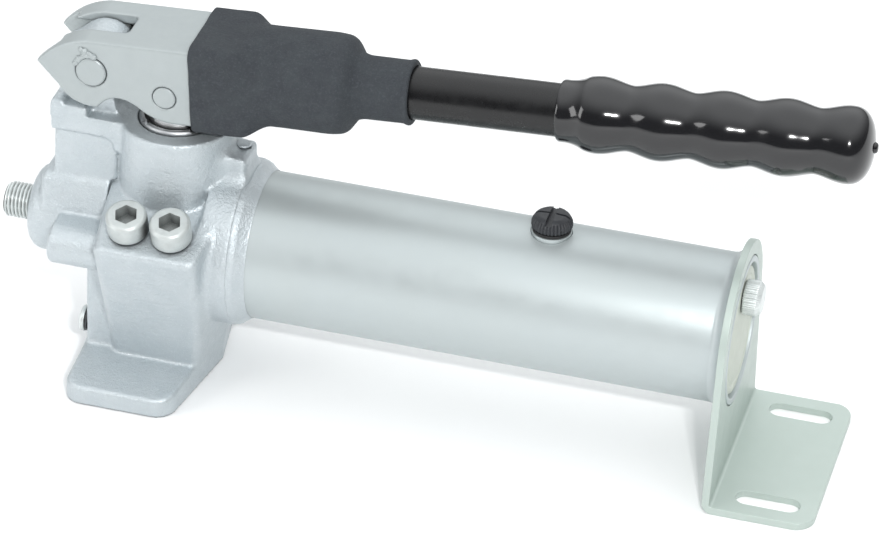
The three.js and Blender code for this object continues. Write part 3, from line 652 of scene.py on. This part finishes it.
def sky(tree):
    """A soft white ceiling that fades into a dim room."""
    nodes, links = tree.nodes, tree.links
    towards = nodes.new("ShaderNodeVectorMath")
    towards.operation = "DOT_PRODUCT"
    towards.inputs[1].default_value = (0, 0.25, 0.97)
    links.new(nodes.new("ShaderNodeTexCoord").outputs["Generated"], towards.inputs[0])
    fade = nodes.new("ShaderNodeMapRange")
    fade.interpolation_type = "SMOOTHSTEP"
    for socket, number in (("From Min", 0.15), ("From Max", 0.95), ("To Min", 0.2), ("To Max", 1.55)):
        fade.inputs[socket].default_value = number
    links.new(towards.outputs["Value"], fade.inputs["Value"])
    background = nodes["Background"]
    background.inputs["Color"].default_value = (0.97, 0.99, 1.0, 1)
    links.new(fade.outputs["Result"], background.inputs["Strength"])


def set_stage():
    world = bpy.data.worlds.new("studio")
    bpy.context.scene.world = world
    world.use_nodes = True
    sky(world.node_tree)
    middle = (0.1, 0, 0.06)
    for side, x in (("left", 0.60), ("right", 0.68)):
        add_light(f"lamp_{side}", (x, -1.30, 1.05), middle, (0.05, 0.05), 7.5)
    add_light("side_left", (-0.8, -0.7, 0.5), middle, (0.4, 0.6), 3)
    reach = 4000
    corners = [(-reach, -reach, 0), (reach, -reach, 0), (reach, reach, 0), (-reach, reach, 0)]
    floor = make_object("floor", corners, [(0, 1, 2, 3)])
    paper = Finish("floor_look", linear(250, 250, 250), 0.9)
    paper.patches(300, 1, (247, 247, 247), 0.3)
    floor.data.materials.append(paper.material)
    bpy.context.scene.view_settings.view_transform = "Standard"


set_camera()
set_stage()

# --- cast pump head


FOOT_TAPER = 0.155  # how much the foot narrows for each millimetre away from the middle
BLOCK_FRONT = -43.2  # at the front edge of the valve pad
COLLAR = {"radius": 32.5, "low": 17.5, "high": 30}  # round the end of the tank


def head_foot(field):
    """Flat foot with round corners: it is widest in the middle, where its top is highest."""
    left, half, height, slope = -30, 48, 7.7, 0.125
    right = 20 - FOOT_TAPER * np.abs(field.y)
    reach_x = np.abs(field.x - (left + right) / 2) - (right - left) / 2
    plan = overlap(reach_x, np.abs(field.y) - half, 7)
    top = (field.z - height - slope * (half - np.abs(field.y))) / math.hypot(1, slope)
    solid = overlap(plan, top, 1.6)
    return overlap(solid, -field.z, 0.6)


def valve_block(field):
    """Main block: its front leans out to the sloping valve pad, its sides flare back to the boss."""
    pad_front, lean, widest = 67.9, 0.335, 23.6
    front = field.side((0, BLOCK_FRONT, pad_front), (0, -1, -lean))
    pad = field.side((0, PAD_Y, PAD_Z), (0, -math.sin(VALVE_TILT), math.cos(VALVE_TILT)))
    right_flare, left_flare = 0.15, 0.12
    right = field.side((20.6, BLOCK_FRONT, pad_front), (1, -right_flare, -right_flare * lean - 0.016))
    left = field.side((-20.3, BLOCK_FRONT, pad_front), (-1, -left_flare, -left_flare * lean - 0.04))
    low = (field.x - 20.3 + FOOT_TAPER * np.abs(field.y) - 0.3 * (field.z - 9)) / 1.06
    right = overlap(overlap(right, field.x - widest, 4), low, 5)
    left = overlap(left, -widest - field.x, 4)
    far = overlap(field.side((0, 30, 62), (0, 1, -0.08)), field.side((0, 20, 71), (0, 0.3, 1)), 3)
    walls = overlap(overlap(front, right, 3.8), overlap(far, 3 - field.z), 2.6)
    return overlap(overlap(walls, pad, 2.2), left, 4.2)


def fulcrum_block(field):
    """Upright block under the lever, with a flat panel on each side and a stepped top."""
    left, right, half, shelf = -46.7, -12, 12, 98.4
    panel = overlap(np.abs(field.y) - 10.5, field.z - 104, 1)
    body = overlap(panel, field.side((left + 1, 0, shelf), (-1, 0, 0.02)), 1.6)
    body = overlap(body, overlap(field.x - right, 48 - field.z))
    ledge = field.box((left, -half, shelf), (right, half, 109.8), 1.0)
    corner = overlap(field.x + 21.5, field.z - shelf, 4.5)
    band = overlap(field.box((-30, -half, 93), (right, half, 104), 0.6), -corner, 0.4)
    ledge = join(ledge, band, 0.5)
    ledge = carve(ledge, overlap(-32.4 - field.x, 106 - field.z), 1.0)
    stop = field.box((left, -half, 104), (-41.4, half, 111.2), 0.8)
    return join(join(body, ledge, 0.9), stop, 1.0)


def outlet_shoulder(field):
    """Saddle that carries the fulcrum block on the round outlet boss."""
    top, half, slope = 78.5, 11.6, 0.32
    flank = (np.abs(field.y) - half - slope * (top - field.z)) / math.hypot(1, slope)
    solid = overlap(flank, field.z - top, 2.4)
    ends = np.abs(field.x + 30.5) - 20.5
    return overlap(solid, overlap(ends, 58 - field.z), 3.5)


def side_boss(field):
    """Flat-topped boss with a round front, beside the outlet boss."""
    left, right, y, z, radius = -42, -8, -24, 56.3, 8.2
    nose = field.rod("x", radius, left, right, (0, y, z), 1.8)
    body = field.box((left, y, z - radius), (right, -4, z + radius), 1.8)
    return join(nose, body)


def head_lug(field):
    """Eye of the fulcrum pin, drawn out to a nose that points away from the lever."""
    x, _, z = FULCRUM
    half, base, edge = 6.25, 100, 0.7
    wall = np.abs(field.y) - half
    eye = field.rod("y", 11.2, -half, half, (x, 0, z), edge)
    nose = field.outline([(x - 15.5, base), (x - 17.1, z + 0.7), (x - 6.7, z + 8.7), (x + 2, z),
                          (x + 2, base)])
    nose = overlap(nose, wall, edge)
    flare = join(field.side((x + 6, 0, 110), (1, 0, 0.05)), field.z - 105.6, 5.0)
    web = overlap(overlap(flare, field.x + 17), x - field.x)
    web = overlap(web, overlap(overlap(field.z - z, base - field.z), wall, edge))
    return join(join(eye, nose, 0.6), web)


def head_body(field):
    """Everything that the mould makes, joined with fillets."""
    rear = join(fulcrum_block(field), outlet_shoulder(field), 2.2)
    rear = join(rear, field.rod("x", 17.05, -56.2, -8, TANK_CENTRE, 5.6), 1.2)
    rear = join(rear, side_boss(field), 1.0)
    rear = join(rear, field.box((-29.3, -21.5, 3), (-8, 26, 48.5), 1.8), 0.8)
    block, boss = valve_block(field), field.rod("z", 22, 50, 106, edge=1.2)
    # a narrow slit parts the rear pieces from the block and the piston boss on the near side
    slit = overlap(join(block, boss) - 1.1, overlap(field.y + 9, overlap(field.z - 92, 47 - field.z)))
    rear = carve(rear, slit, 0.5)
    solid = join(head_foot(field), rear, 1.6)
    solid = join(solid, block, 1.5)
    solid = join(solid, field.rod("x", **COLLAR, centre=TANK_CENTRE, edge=0.6), 3.4)
    solid = join(solid, boss, 1.3)
    ridge = field.box((2, -8.5, 60), (29.8, 8.5, 97), 2.2)
    solid = join(solid, ridge, 4.5)
    solid = join(solid, field.rod("y", 9.5, 20, 36, RELEASE_CENTRE, 1.4), 3.0)
    return join(solid, head_lug(field), 1.6)


def head_machining(field):
    """Everything that is bored or turned afterwards."""
    x, _, z = FULCRUM
    outer = field.rod("x", TANK_RADIUS + 0.3, 21, 60, TANK_CENTRE, 0.3)
    inner = field.rod("x", TANK_RADIUS - 2.9, 0, 80, TANK_CENTRE, 0.3)
    tools = [
        (field.rod("z", 14.8, 95.7, 130, edge=0.2), 0.4),
        (field.rod("z", 12.5, 66, 100, edge=0.2), 0.0),
        (field.rod("z", 5.8, 34, 70, edge=0.2), 0.0),
        (field.rod("y", 6.3, -20, 20, (x, 0, z), 0.2), 0.4),
        (overlap(outer, -inner), 0.3),
        (field.rod("x", 3.3, -40, -6, INLET_CENTRE, 0.2), 0.0),
        (field.rod("x", 7.3, -70, -43, OUTLET_CENTRE, 0.2), 0.4),
        (field.rod("y", 4.3, 19, 70, RELEASE_CENTRE, 0.2), 0.4),
        (field.rod("z", 2.5, 88, 120, GALLERY_CENTRE, 0.2), 0.3),
    ]
    for screw_x in (DELIVERY_X, RELIEF_X):
        valve = field.tilted(screw_x)
        tools.append((valve.rod("z", 5.3, -12.8, 20, edge=0.2), 0.3))
        tools.append((valve.rod("z", 3.6, -25.9, -10, edge=0.2), 0.0))
    return tools


def make_head():
    field = Field((-58, -50, -2), (33, 50, 144), 0.7)
    solid = head_body(field)
    for tool, edge in head_machining(field):
        solid = carve(solid, tool, edge)
    head = skin("cast_head", field, solid)
    roughen(head, 0.03, 2.0, seed=7)
    add(head, "cast_head", "pump_frame", "cast_paint", "pump_head")


# --- valves and plugs


def ribs(count, depth, at_least):
    """Ripple that presses rounded grooves into the outline wherever it is that wide."""

    def ripple(angles, _, radius):
        if radius < at_least:
            return np.full(len(angles), float(radius))
        return radius - depth * (1 - np.abs(np.cos(angles * count / 2))) ** 0.8

    return ripple


def thread(pitch, depth, at_least):
    """Ripple that cuts a screw thread into the outline wherever it is that wide."""

    def ripple(angles, height, radius):
        if radius < at_least:
            return np.full(len(angles), float(radius))
        turn = (height / pitch - angles / (2 * math.pi)) % 1
        flank = np.clip(np.abs(turn - 0.5) * 2.6 - 0.25, 0, 1)
        return np.maximum(radius - depth * flank, at_least - depth)

    return ripple


def evenly(profile, low, high, step):
    """Add points between low and high heights, so that a ripple along the axis has room."""
    made = []
    for (r0, h0), (r1, h1) in zip(profile, profile[1:]):
        made.append((r0, h0))
        if h0 != h1:
            count = int((high - low) / step)
            cuts = [(low + (high - low) * i / count - h0) / (h1 - h0) for i in range(count + 1)]
            made += [(r0 + (r1 - r0) * t, h0 + (h1 - h0) * t) for t in sorted(cuts) if 0.001 < t < 0.999]
    return made + [profile[-1]]


def make_cap_screw(name, x):
    """Cap screw with a hexagon socket, drawn upright and then laid on the sloping pad."""
    place, socket_radius, socket_turn = valve_place(x), 4.62, -14
    profile = rounded([(0, -12.5), (4.4, -12.5), (5, -11.9), (5, 1.3), (7.75, 1.3), (7.9, 1.6), (7.9, 9.2),
                       (6.9, 10.15), (0, 10.2)], 0.4)
    screw = revolve("screw", "z", profile)
    corners = arc((0, 0), socket_radius, socket_turn, socket_turn + 300, 5)
    combine(screw, [slab("socket", "xy", corners, 4.4, 20)])
    soften(screw, 0.22, 2, 35)
    add(screw, f"{name}_hex_screw", "pump_frame", "cap_screw_zinc", f"{name}_cap_screw", place=place)
    turned(f"{name}_washer", "pump_frame", "dark_washer", f"{name}_sealing_washer", "z",
           ring_section(5.3, 7.4, 0.3, 1.0, 0.2), place=place)


def make_inlet_plug():
    profile = rounded([(0, -32.8), (4.5, -32.8), (5.1, -32.3), (5.1, -30.8), (3, -30.8), (3, -15),
                       (0, -15)], 0.35)
    socket = bar("x", 2.4, -40, -31.4, INLET_CENTRE, 6)
    turned("inlet_plug_screw", "pump_frame", "zinc", "inlet_plug", "x", profile, INLET_CENTRE, 64, [socket])
    turned("inlet_washer", "pump_frame", "dark_washer", "inlet_plug_washer", "x",
           ring_section(3.3, 4.8, -30.5, -29.6, 0.2), INLET_CENTRE, 64)


def make_gallery_plug():
    profile = rounded([(0, 91), (2.2, 91), (2.2, 97.3), (3, 97.3), (3, 97.9), (2.6, 98.3), (0, 98.3)], 0.3)
    turned("gallery_plug_screw", "pump_frame", "cast_paint", "gallery_plug", "z", profile,
           GALLERY_CENTRE, 48)


def make_outlet():
    """Threaded stub with a plain bore."""
    outline = [(3.2, -68.4), (5.7, -68.4), (7, -67.2), (7, -44), (3.2, -44)]
    section = evenly(rounded_loop(outline, 0.3), -68.2, -50, 0.15)
    turned("outlet_stub", "pump_frame", "zinc", "outlet_union", "x", section, OUTLET_CENTRE, 72,
           ripple=thread(1.5, 0.8, 5.9), crease=50)


def make_release_valve():
    """Spindle with a conical tip, a knurled knob, and the seal between knob and head."""
    profile = rounded([(0, 22.4), (3.96, 26), (3.96, 49.2), (3.4, 49.8), (0, 49.8)], 0.3)
    turned("release_stem", "release_valve", "steel", "release_spindle", "y", profile,
           RELEASE_CENTRE, 64)
    section = rounded_loop([(4.3, 38.6), (9.6, 38.6), (11, 40), (11, 46.6), (9.4, 48.2), (4.3, 48.2)], 0.5)
    turned("release_knurled_knob", "release_valve", "zinc", "release_knob", "y", section,
           RELEASE_CENTRE, 288, ripple=ribs(48, 0.55, 10.6), crease=40)
    turned("release_ring", "pump_frame", "seal_rubber", "release_seal", "y",
           ring_section(4.3, 6.6, 36.3, 37.9, 0.4), RELEASE_CENTRE, 64)


# --- piston and gland


def make_piston():
    """Stepped rod with a groove for each seal, and an eye whose hole is slotted."""
    thin, thick = 5.5, 11
    rod = revolve("rod", "z", rounded([
        (0, 40), (4.9, 40), (thin, 40.6), (thin, 43), (4.2, 43), (4.2, 45.5), (thin, 45.5), (thin, 68.5),
        (thick, 68.5), (thick, 70.5), (8.8, 70.5), (8.8, 74), (thick, 74), (thick, 114), (0, 114)], 0.3))
    eye = slab("eye", "xz", rounded_box_outline(-12.2, 10, 111.5, 131.2, 4), -9, 9)
    soften(eye, 0.6)
    hole = slab("hole", "xz", rounded_box_outline(-7.9, 5.6, 118.5, 128.5, 4.99), -12, 12)
    combine(eye, [hole])
    combine(rod, [eye], "UNION")
    add(rod, "piston_rod", "piston", "hard_chrome", "piston")


def make_gland():
    """Gland ring with four spanner notches, and the lip of the wiper inside it."""
    top = GLAND_TOP
    section = rounded_loop([(11.3, 96), (14.5, 96), (14.5, top - 0.8), (13.9, top), (12.5, top),
                            (12.3, top - 2.8), (11.3, top - 2.8)], 0.25)
    notches = []
    for turn in np.radians((45, 135, 225, 315)):
        notch = slab("notch", "xy", rounded_box_outline(12.4, 16, -1.4, 1.4, 0.5), top - 1.4, top + 3)
        notch.data.transform(Matrix.Rotation(turn, 4, "Z"))
        notches.append(notch)
    turned("gland_ring", "pump_frame", "steel", "gland_bush", "z", section, cutters=notches)
    lip = [(11.3, top - 2.5), (12.1, top - 2.5), (12.1, top - 0.5), (11.8, top - 0.5), (11.3, top - 0.2)]
    turned("wiper_lip", "pump_frame", "seal_rubber", "wiper_ring", "z", rounded_loop(lip, 0.2))


# --- tank and its fittings


def make_tank():
    """Oil tank tube with the hole for the filler neck."""
    wall, end_gap = 2.6, 0.5
    section = ring_section(TANK_RADIUS - wall, TANK_RADIUS, TANK_LOW[0], TANK_HIGH[0] + end_gap, 0.8)
    hole = bar("z", 8, 70, 95, FILLER_CENTRE)
    turned("tank_shell", "pump_frame", "tank_paint", "oil_tank", "x", section, TANK_CENTRE, 192, [hole])


def make_welds():
    """Thick uneven bead round the collar, and a neat flared fillet at the bracket."""
    waves = 60
    phases = np.random.default_rng(11).uniform(0, 2 * math.pi, waves)

    def uneven(angles, height, radius):
        wave = sum(np.sin(k * angles + phases[k] + 0.5 * height) / k ** 0.75 for k in range(2, waves, 3))
        return radius + 0.13 * wave * np.clip((radius - TANK_RADIUS - 0.3) / 1.2, 0, 1)

    collar_end, tank = COLLAR["high"], TANK_RADIUS + 0.12
    bead = [(tank, collar_end + 0.05), (31.7, collar_end + 0.05), (32.15, collar_end - 0.25)]
    bead += [(32.2, collar_end + 0.2), (32.1, collar_end + 0.8), (31.8, collar_end + 1.5)]
    bead += [(tank + (2.9 * (1 - t) ** 1.2), collar_end + 1.9 + 4.3 * t) for t in np.linspace(0.04, 1, 16)]
    turned("front_weld_bead", "pump_frame", "cast_paint", "front_weld", "x", bead, TANK_CENTRE, 384,
           ripple=uneven, crease=60)
    plate = span("foot_bracket")[0][0] - 0.1
    flare = [(tank + 3.9 * t ** 2.2, plate - 4.2 + 4.2 * t) for t in np.linspace(0, 1, 12)]
    flare += [(tank, plate)]
    turned("rear_weld_fillet", "pump_frame", "tank_paint", "rear_weld", "x", flare, TANK_CENTRE, 192,
           crease=60)


def make_end_cap():
    """Closing disc with a skirt behind it and a shallow ring groove in its face."""
    radius = TANK_RADIUS - 2.9
    back = [(0, 216), (21, 216), (21, 209), (radius, 209)]
    rim = [(radius, CAP_FACE - 1.7), (24.9, CAP_FACE - 1.0), (24.3, CAP_FACE - 0.1), (23.5, CAP_FACE)]
    groove = [(22.0, CAP_FACE), (21.4, CAP_FACE - 0.45), (20.6, CAP_FACE - 0.45)]
    profile = rounded([*back, *rim, *groove, (20.0, CAP_FACE - 0.05), (0, CAP_FACE - 0.05)], 0.35)
    hole = bar("x", 4.3, 200, 230, VENT_CENTRE)
    turned("end_cap_disc", "pump_frame", "cap_face", "tank_end_cap", "x", profile, TANK_CENTRE, 160, [hole])


def make_filler():
    """Neck, seal and ribbed breather cap, with a cross slot whose one arm is wider."""
    x, crest = FILLER_CENTRE[0], TANK_Z + TANK_RADIUS
    turned("filler_neck", "pump_frame", "tank_paint", "filler_bung", "z",
           ring_section(5.8, 7.7, 77, crest + 0.5), FILLER_CENTRE)
    turned("filler_ring", "pump_frame", "seal_rubber", "filler_seal", "z",
           ring_section(5.8, 7.5, crest + 0.75, crest + 1.9, 0.45), FILLER_CENTRE)
    base, top = crest + 2.1, crest + 8
    profile = rounded([(0, 78), (4.9, 78), (5.5, 78.6), (5.5, base), (7.4, base), (7.95, base + 0.7),
                       (7.9, base + 2.6), (6.7, top - 1.3), (5.2, top - 0.35), (0, top)], 0.5)
    wide = slab("wide", "xy", rounded_box_outline(x - 1.2, x + 1.2, -10, 10, 0.2), top - 2.2, top + 2)
    narrow = slab("narrow", "xy", rounded_box_outline(x - 10, x + 10, -0.55, 0.55, 0.2), top - 1.9, top + 2)
    turned("breather_cap", "filler_cap", "black_plastic", "filler_cap", "z", profile, FILLER_CENTRE, 264,
           [wide, narrow], ripple=ribs(33, 0.5, 6.85), crease=45)


def make_vent_screw():
    """Knurled screw that closes the vent of the tank, on a seal in the end disc."""
    turned("vent_ring", "pump_frame", "seal_rubber", "vent_screw_seal", "x",
           ring_section(4.3, 5.6, CAP_FACE + 0.1, CAP_FACE + 0.9, 0.3), VENT_CENTRE, 72)
    stem = [(0, 211), (3.5, 211), (4, 211.6), (4, CAP_FACE + 1.1), (5.9, CAP_FACE + 1.1)]
    head = [(5.9, CAP_FACE + 0.35), (6.3, CAP_FACE + 0.35), (6.8, CAP_FACE + 0.9), (6.8, CAP_FACE + 5.6),
            (5.3, CAP_FACE + 7.4), (0, CAP_FACE + 7.5)]
    profile = rounded(stem + head, 0.35)
    turned("vent_knurled_screw", "vent_screw", "zinc", "vent_screw", "x", profile, VENT_CENTRE, 240,
           ripple=ribs(44, 0.3, 6.5), crease=45)


def make_bracket():
    """Bent sheet: an arched plate over the tank end and a slotted foot."""
    front, sheet, arch, half, end = 220.5, 2.9, 34.8, 42.4, 262.8
    outside, inside, above = 4.2, 1.3, 110
    bend = ([(front, above)] + arc((front + outside, outside), outside, 180, 270, 8)
            + [(end, 0), (end, sheet)]
            + arc((front + sheet + inside, sheet + inside), inside, 270, 180, 6)
            + [(front + sheet, above)])
    bent = slab("bent", "xz", remove_repeats(bend), -half - 5, half + 5)
    reach = math.hypot(half, TANK_Z)
    tangent = math.degrees(math.atan2(-TANK_Z, half) + math.acos(arch / reach))
    outline = [(-half, 0), (half, 0)] + arc((0, TANK_Z), arch, tangent, 180 - tangent, 64)
    arch_prism = slab("arch", "yz", outline, 200, 280)
    foot_prism = slab("foot", "xy", rounded_box_outline(180, end, -half, half, 8, 12), -5, 120)
    combine(bent, [arch_prism, foot_prism], "INTERSECT")
    cutters = [bar("x", TANK_RADIUS + 0.35, 210, 240, TANK_CENTRE, 160)]
    for y in (-31, 31):
        slot = rounded_box_outline(231.5, 256.2, y - 4.4, y + 4.4, 4.39, 12)
        cutters.append(slab("slot", "xy", slot, -2, 8))
    combine(bent, cutters)
    soften(bent, 0.95, 4, 30)
    add(bent, "bracket_plate", "pump_frame", "bracket_paint", "foot_bracket")


def remove_repeats(points):
    """Drop points that lie on the one before them."""
    kept = [points[0]]
    for point in points[1:]:
        if math.dist(point, kept[-1]) > 1e-6:
            kept.append(point)
    return kept


# --- lever, in its own frame

HANDLE_CENTRE = (0, 0, -2.1)
PISTON_PIN_CENTRE = (28.5, 0, -7.6)


def cheek_outline():
    """Side view of the channel: pointed nose, round underside, and a hollow that clears the head."""
    top, bottom, end = 12.8, -18.6, 62
    points = [(end, top), (-2, top)]
    points += quadratic((-2, top), (-13, 11.6), (-21.4, 2.2), 10)
    points += [(-13.5, -7.0)]
    points += arc((0, 0), 15.2, 207.5, 277.2, 12)[1:]
    points += quadratic(points[-1], (5.5, -10.2), (10.3, -10.4))
    points += quadratic((10.3, -10.4), (14.5, -10.6), (18.5, -13.8))
    points += quadratic((18.5, -13.8), (24, -18.4), (32, bottom))
    return points + [(end, bottom)]


def make_channel():
    """Bent sheet channel: two cheeks and a web on top, open at the nose for the lug."""
    half, sheet, top = 17, 4, 12.8
    field = Field((-23, -18.5, -20), (63.5, 18.5, 14.5), 0.5)
    side_view = field.outline(cheek_outline())
    solid = overlap(side_view, np.abs(field.y) - half, 0.7)
    solid = overlap(solid, field.side((55.5, 0, top), (1, 0, 0.2)), 0.5)
    inside = overlap(np.abs(field.y) - half + sheet, field.z - top + sheet, 2.5)
    notch = overlap(np.abs(field.y) - 6.75, field.x - 12, 2)
    for tool in (inside, notch):
        solid = carve(solid, tool, 0.5)
    for radius, centre in ((6.1, (0, 0, 0)), (4.6, PISTON_PIN_CENTRE)):
        solid = carve(solid, field.rod("y", radius, -30, 30, centre, 0.1), 0.35)
    channel = skin("channel", field, solid)
    add(channel, "channel_lever", "lever", "lever_paint", "lever_channel")


def make_pins():
    """The two pins of the lever and the spacers on each side of the lug."""
    chamfered = [(0, -17.7), (5.3, -17.7), (6, -17.1), (6, 17.1), (5.3, 17.7), (0, 17.7)]
    turned("fulcrum_bar", "lever", "lever_paint", "fulcrum_pin", "y", rounded(chamfered, 0.4))
    chamfered = [(0, -17.3), (4, -17.3), (4.5, -16.8), (4.5, 16.8), (4, 17.3), (0, 17.3)]
    turned("piston_bar", "lever", "lever_paint", "piston_pin", "y", rounded(chamfered, 0.35),
           PISTON_PIN_CENTRE)
    for side, low, high in (("near", -12.7, -6.55), ("far", 6.55, 12.7)):
        turned(f"spacer_{side}", "lever", "zinc", f"fulcrum_spacer_{side}", "y",
               ring_section(6.3, 8.3, low, high, 0.4))


def make_tack_welds():
    """Small rough weld beads that hold the fulcrum pin on the near cheek."""
    draw = np.random.default_rng(23)
    field = Field((-14, -20, -4), (8, -14, 16), 0.25)
    pin_edge, cheek = 6.4, -17.0
    drops = [(76, 0.4), (84, 0.6), (92, 1.4), (99, 0.2), (101, 2.6), (108, 1.0), (110, 3.6), (119, 0.3),
             (130, 0.4), (141, 0.2), (152, 0.4)]  # angle round the pin, distance out from its edge
    balls = []
    for turn, out in drops:
        reach, angle = pin_edge + out, math.radians(turn)
        offsets = (field.x - reach * math.cos(angle), (field.y - cheek) * 1.15,
                   field.z - reach * math.sin(angle))
        balls.append(np.sqrt(sum(offset ** 2 for offset in offsets)) - draw.uniform(0.95, 1.35))
    blob = balls[0]
    for ball in balls[1:]:
        blob = join(blob, ball, 0.4)
    blob = overlap(blob, field.y - cheek - 0.3)
    weld = skin("weld", field, blob)
    roughen(weld, 0.09, 0.9, seed=3)
    add(weld, "fulcrum_tack_weld", "lever", "lever_paint")


def make_socket():
    """Bored block in the channel that widens to a drum and holds the handle tube."""
    block = slab("block", "yz", rounded_box_outline(-11, 11, -13, 8.5, 1.5), 43, 64)
    soften(block, 0.6)
    drum = revolve("drum", "x", rounded([(0, 62.3), (16.5, 62.3), (16.5, 94), (0, 94)], 0.8), HANDLE_CENTRE)
    combine(block, [drum], "UNION")
    combine(block, [bar("x", 10.3, 30, 110, HANDLE_CENTRE)])
    add(block, "tube_socket", "lever", "lever_paint", "handle_socket")


def make_handle():
    turned("handle_bar", "lever", "black_paint", "handle_tube", "x",
           ring_section(7.5, 10, 44, 289.6, 0.4), HANDLE_CENTRE, 128)


def radius_by_angle(outline, centre, angles):
    """How far an outline lies from a point inside it, at each of these angles."""
    offsets = np.array(outline) - np.array(centre)
    turns = np.arctan2(offsets[:, 1], offsets[:, 0])
    return np.interp(angles, turns, np.hypot(offsets[:, 0], offsets[:, 1]), period=2 * math.pi)


def dense(outline, step=0.25):
    """Add points along the straight stretches of a closed outline."""
    made = []
    for start, end in zip(outline, outline[1:] + outline[:1]):
        count = max(1, int(math.dist(start, end) / step))
        run, rise = end[0] - start[0], end[1] - start[1]
        made += [(start[0] + run * i / count, start[1] + rise * i / count) for i in range(count)]
    return made


def make_sleeve():
    """Rubber sleeve: a rounded box over the channel that swells round the socket and necks down."""
    start, end = 39, 121.3
    axis = HANDLE_CENTRE[1:]
    angles = np.arange(160) * 2 * math.pi / 160
    box_shape = radius_by_angle(dense(rounded_box_outline(-19.2, 19.2, -21.2, 15.4, 4.5)), axis, angles)
    room = radius_by_angle(dense(rounded_box_outline(-17.3, 17.3, -18.9, 13.1, 1.0)), axis, angles)

    def ring(x, radii):
        points = np.zeros((len(angles), 3))
        points[:, 0] = x
        points[:, 1] = axis[0] + radii * np.cos(angles)
        points[:, 2] = axis[1] + radii * np.sin(angles)
        return points

    def ease(t):
        t = np.clip(t, 0, 1)
        return t * t * (3 - 2 * t)

    outer = [ring(start, box_shape - 0.9), ring(start + 0.15, box_shape - 0.4), ring(start + 0.6, box_shape)]
    for x in np.arange(start + 2, 72, 1.0):
        share = ease((x - 59 + 2.5 * (1 + np.sin(angles))) / 9.5)
        outer.append(ring(x, box_shape * (1 - share) + 19.0 * share))
    outline = rounded([(19.0, 72), (19.2, 91), (18.5, 96.6), (12.8, 100.6), (12.0, 103.2),
                       (11.95, end - 2.6), (12.4, end - 1.5), (12.45, end - 0.6),
                       (12.0, end), (10.3, end)], 3.0, 6)
    outer += [ring(x, np.full(len(angles), radius)) for radius, x in outline]
    inner = [ring(x, np.full(len(angles), radius)) for radius, x in
             ((10.3, end - 1), (10.3, 97.5), (16.8, 96.4), (16.8, 64))]
    inner += [ring(62.6 - 2.7 * (1 + np.sin(angles)), room), ring(start + 1, room), ring(start, room)]
    sleeve = loft("sleeve", outer + inner, closed=True, crease=38)
    roughen(sleeve, 0.04, 9.0, seed=5)
    add(sleeve, "rubber_sleeve", "lever", "sleeve_rubber", "lever_sleeve")


def make_grip():
    """Dipped vinyl grip: a collar, five finger bulges, a blunt round end with the drip of the dip."""
    start, first, pitch, bulges, end, tip = 177.6, 192.4, 23.34, 5, 295.2, 296.5
    last = first + (bulges - 1) * pitch
    profile = [(10.3, start), (11.3, start), (11.65, start + 0.5), (11.7, start + 1.5)]
    for x in np.arange(start + 3, last, 0.8):
        wave = (1 + math.cos(2 * math.pi * (x - first) / pitch)) / 2
        radius = 12.3 + 2.2 * wave ** 0.8
        lead = np.clip((x - start - 3) / 7, 0, 1)
        profile.append((11.7 + (radius - 11.7) * lead, x))
    for t in np.linspace(0, 0.985, 20):  # the blunt end
        profile.append((14.5 * (1 - t ** 2.4) ** (1 / 2.2), last + (end - last) * t))
    profile += [(2.2, end - 0.05), (1.9, tip - 0.5), (1.3, tip - 0.1), (0, tip)]
    outline = [(0, end - 4), (10.3, end - 4)] + profile
    turned("finger_grip", "lever", "grip_vinyl", "lever_grip", "x", outline, HANDLE_CENTRE, 128, crease=50)


make_head()
for screw_name, screw_x in (("delivery", DELIVERY_X), ("relief", RELIEF_X)):
    make_cap_screw(screw_name, screw_x)
make_inlet_plug()
make_gallery_plug()
make_outlet()
make_release_valve()
make_piston()
make_gland()
make_tank()
make_welds()
make_end_cap()
make_filler()
make_vent_screw()
make_bracket()
make_channel()
make_pins()
make_tack_welds()
make_socket()
make_handle()
make_sleeve()
make_grip()

# CAD nodes that stay, hidden inside the others, take the look of their slot
SLOT_OF = {part["node"]: part["material_slot"] for part in frame["record"]["subparts"]}
for node, obj in frame["nodes"].items():
    if not obj.hide_render:
        obj.data.materials.clear()
        obj.data.materials.append(LOOKS[SLOT_OF[node]])
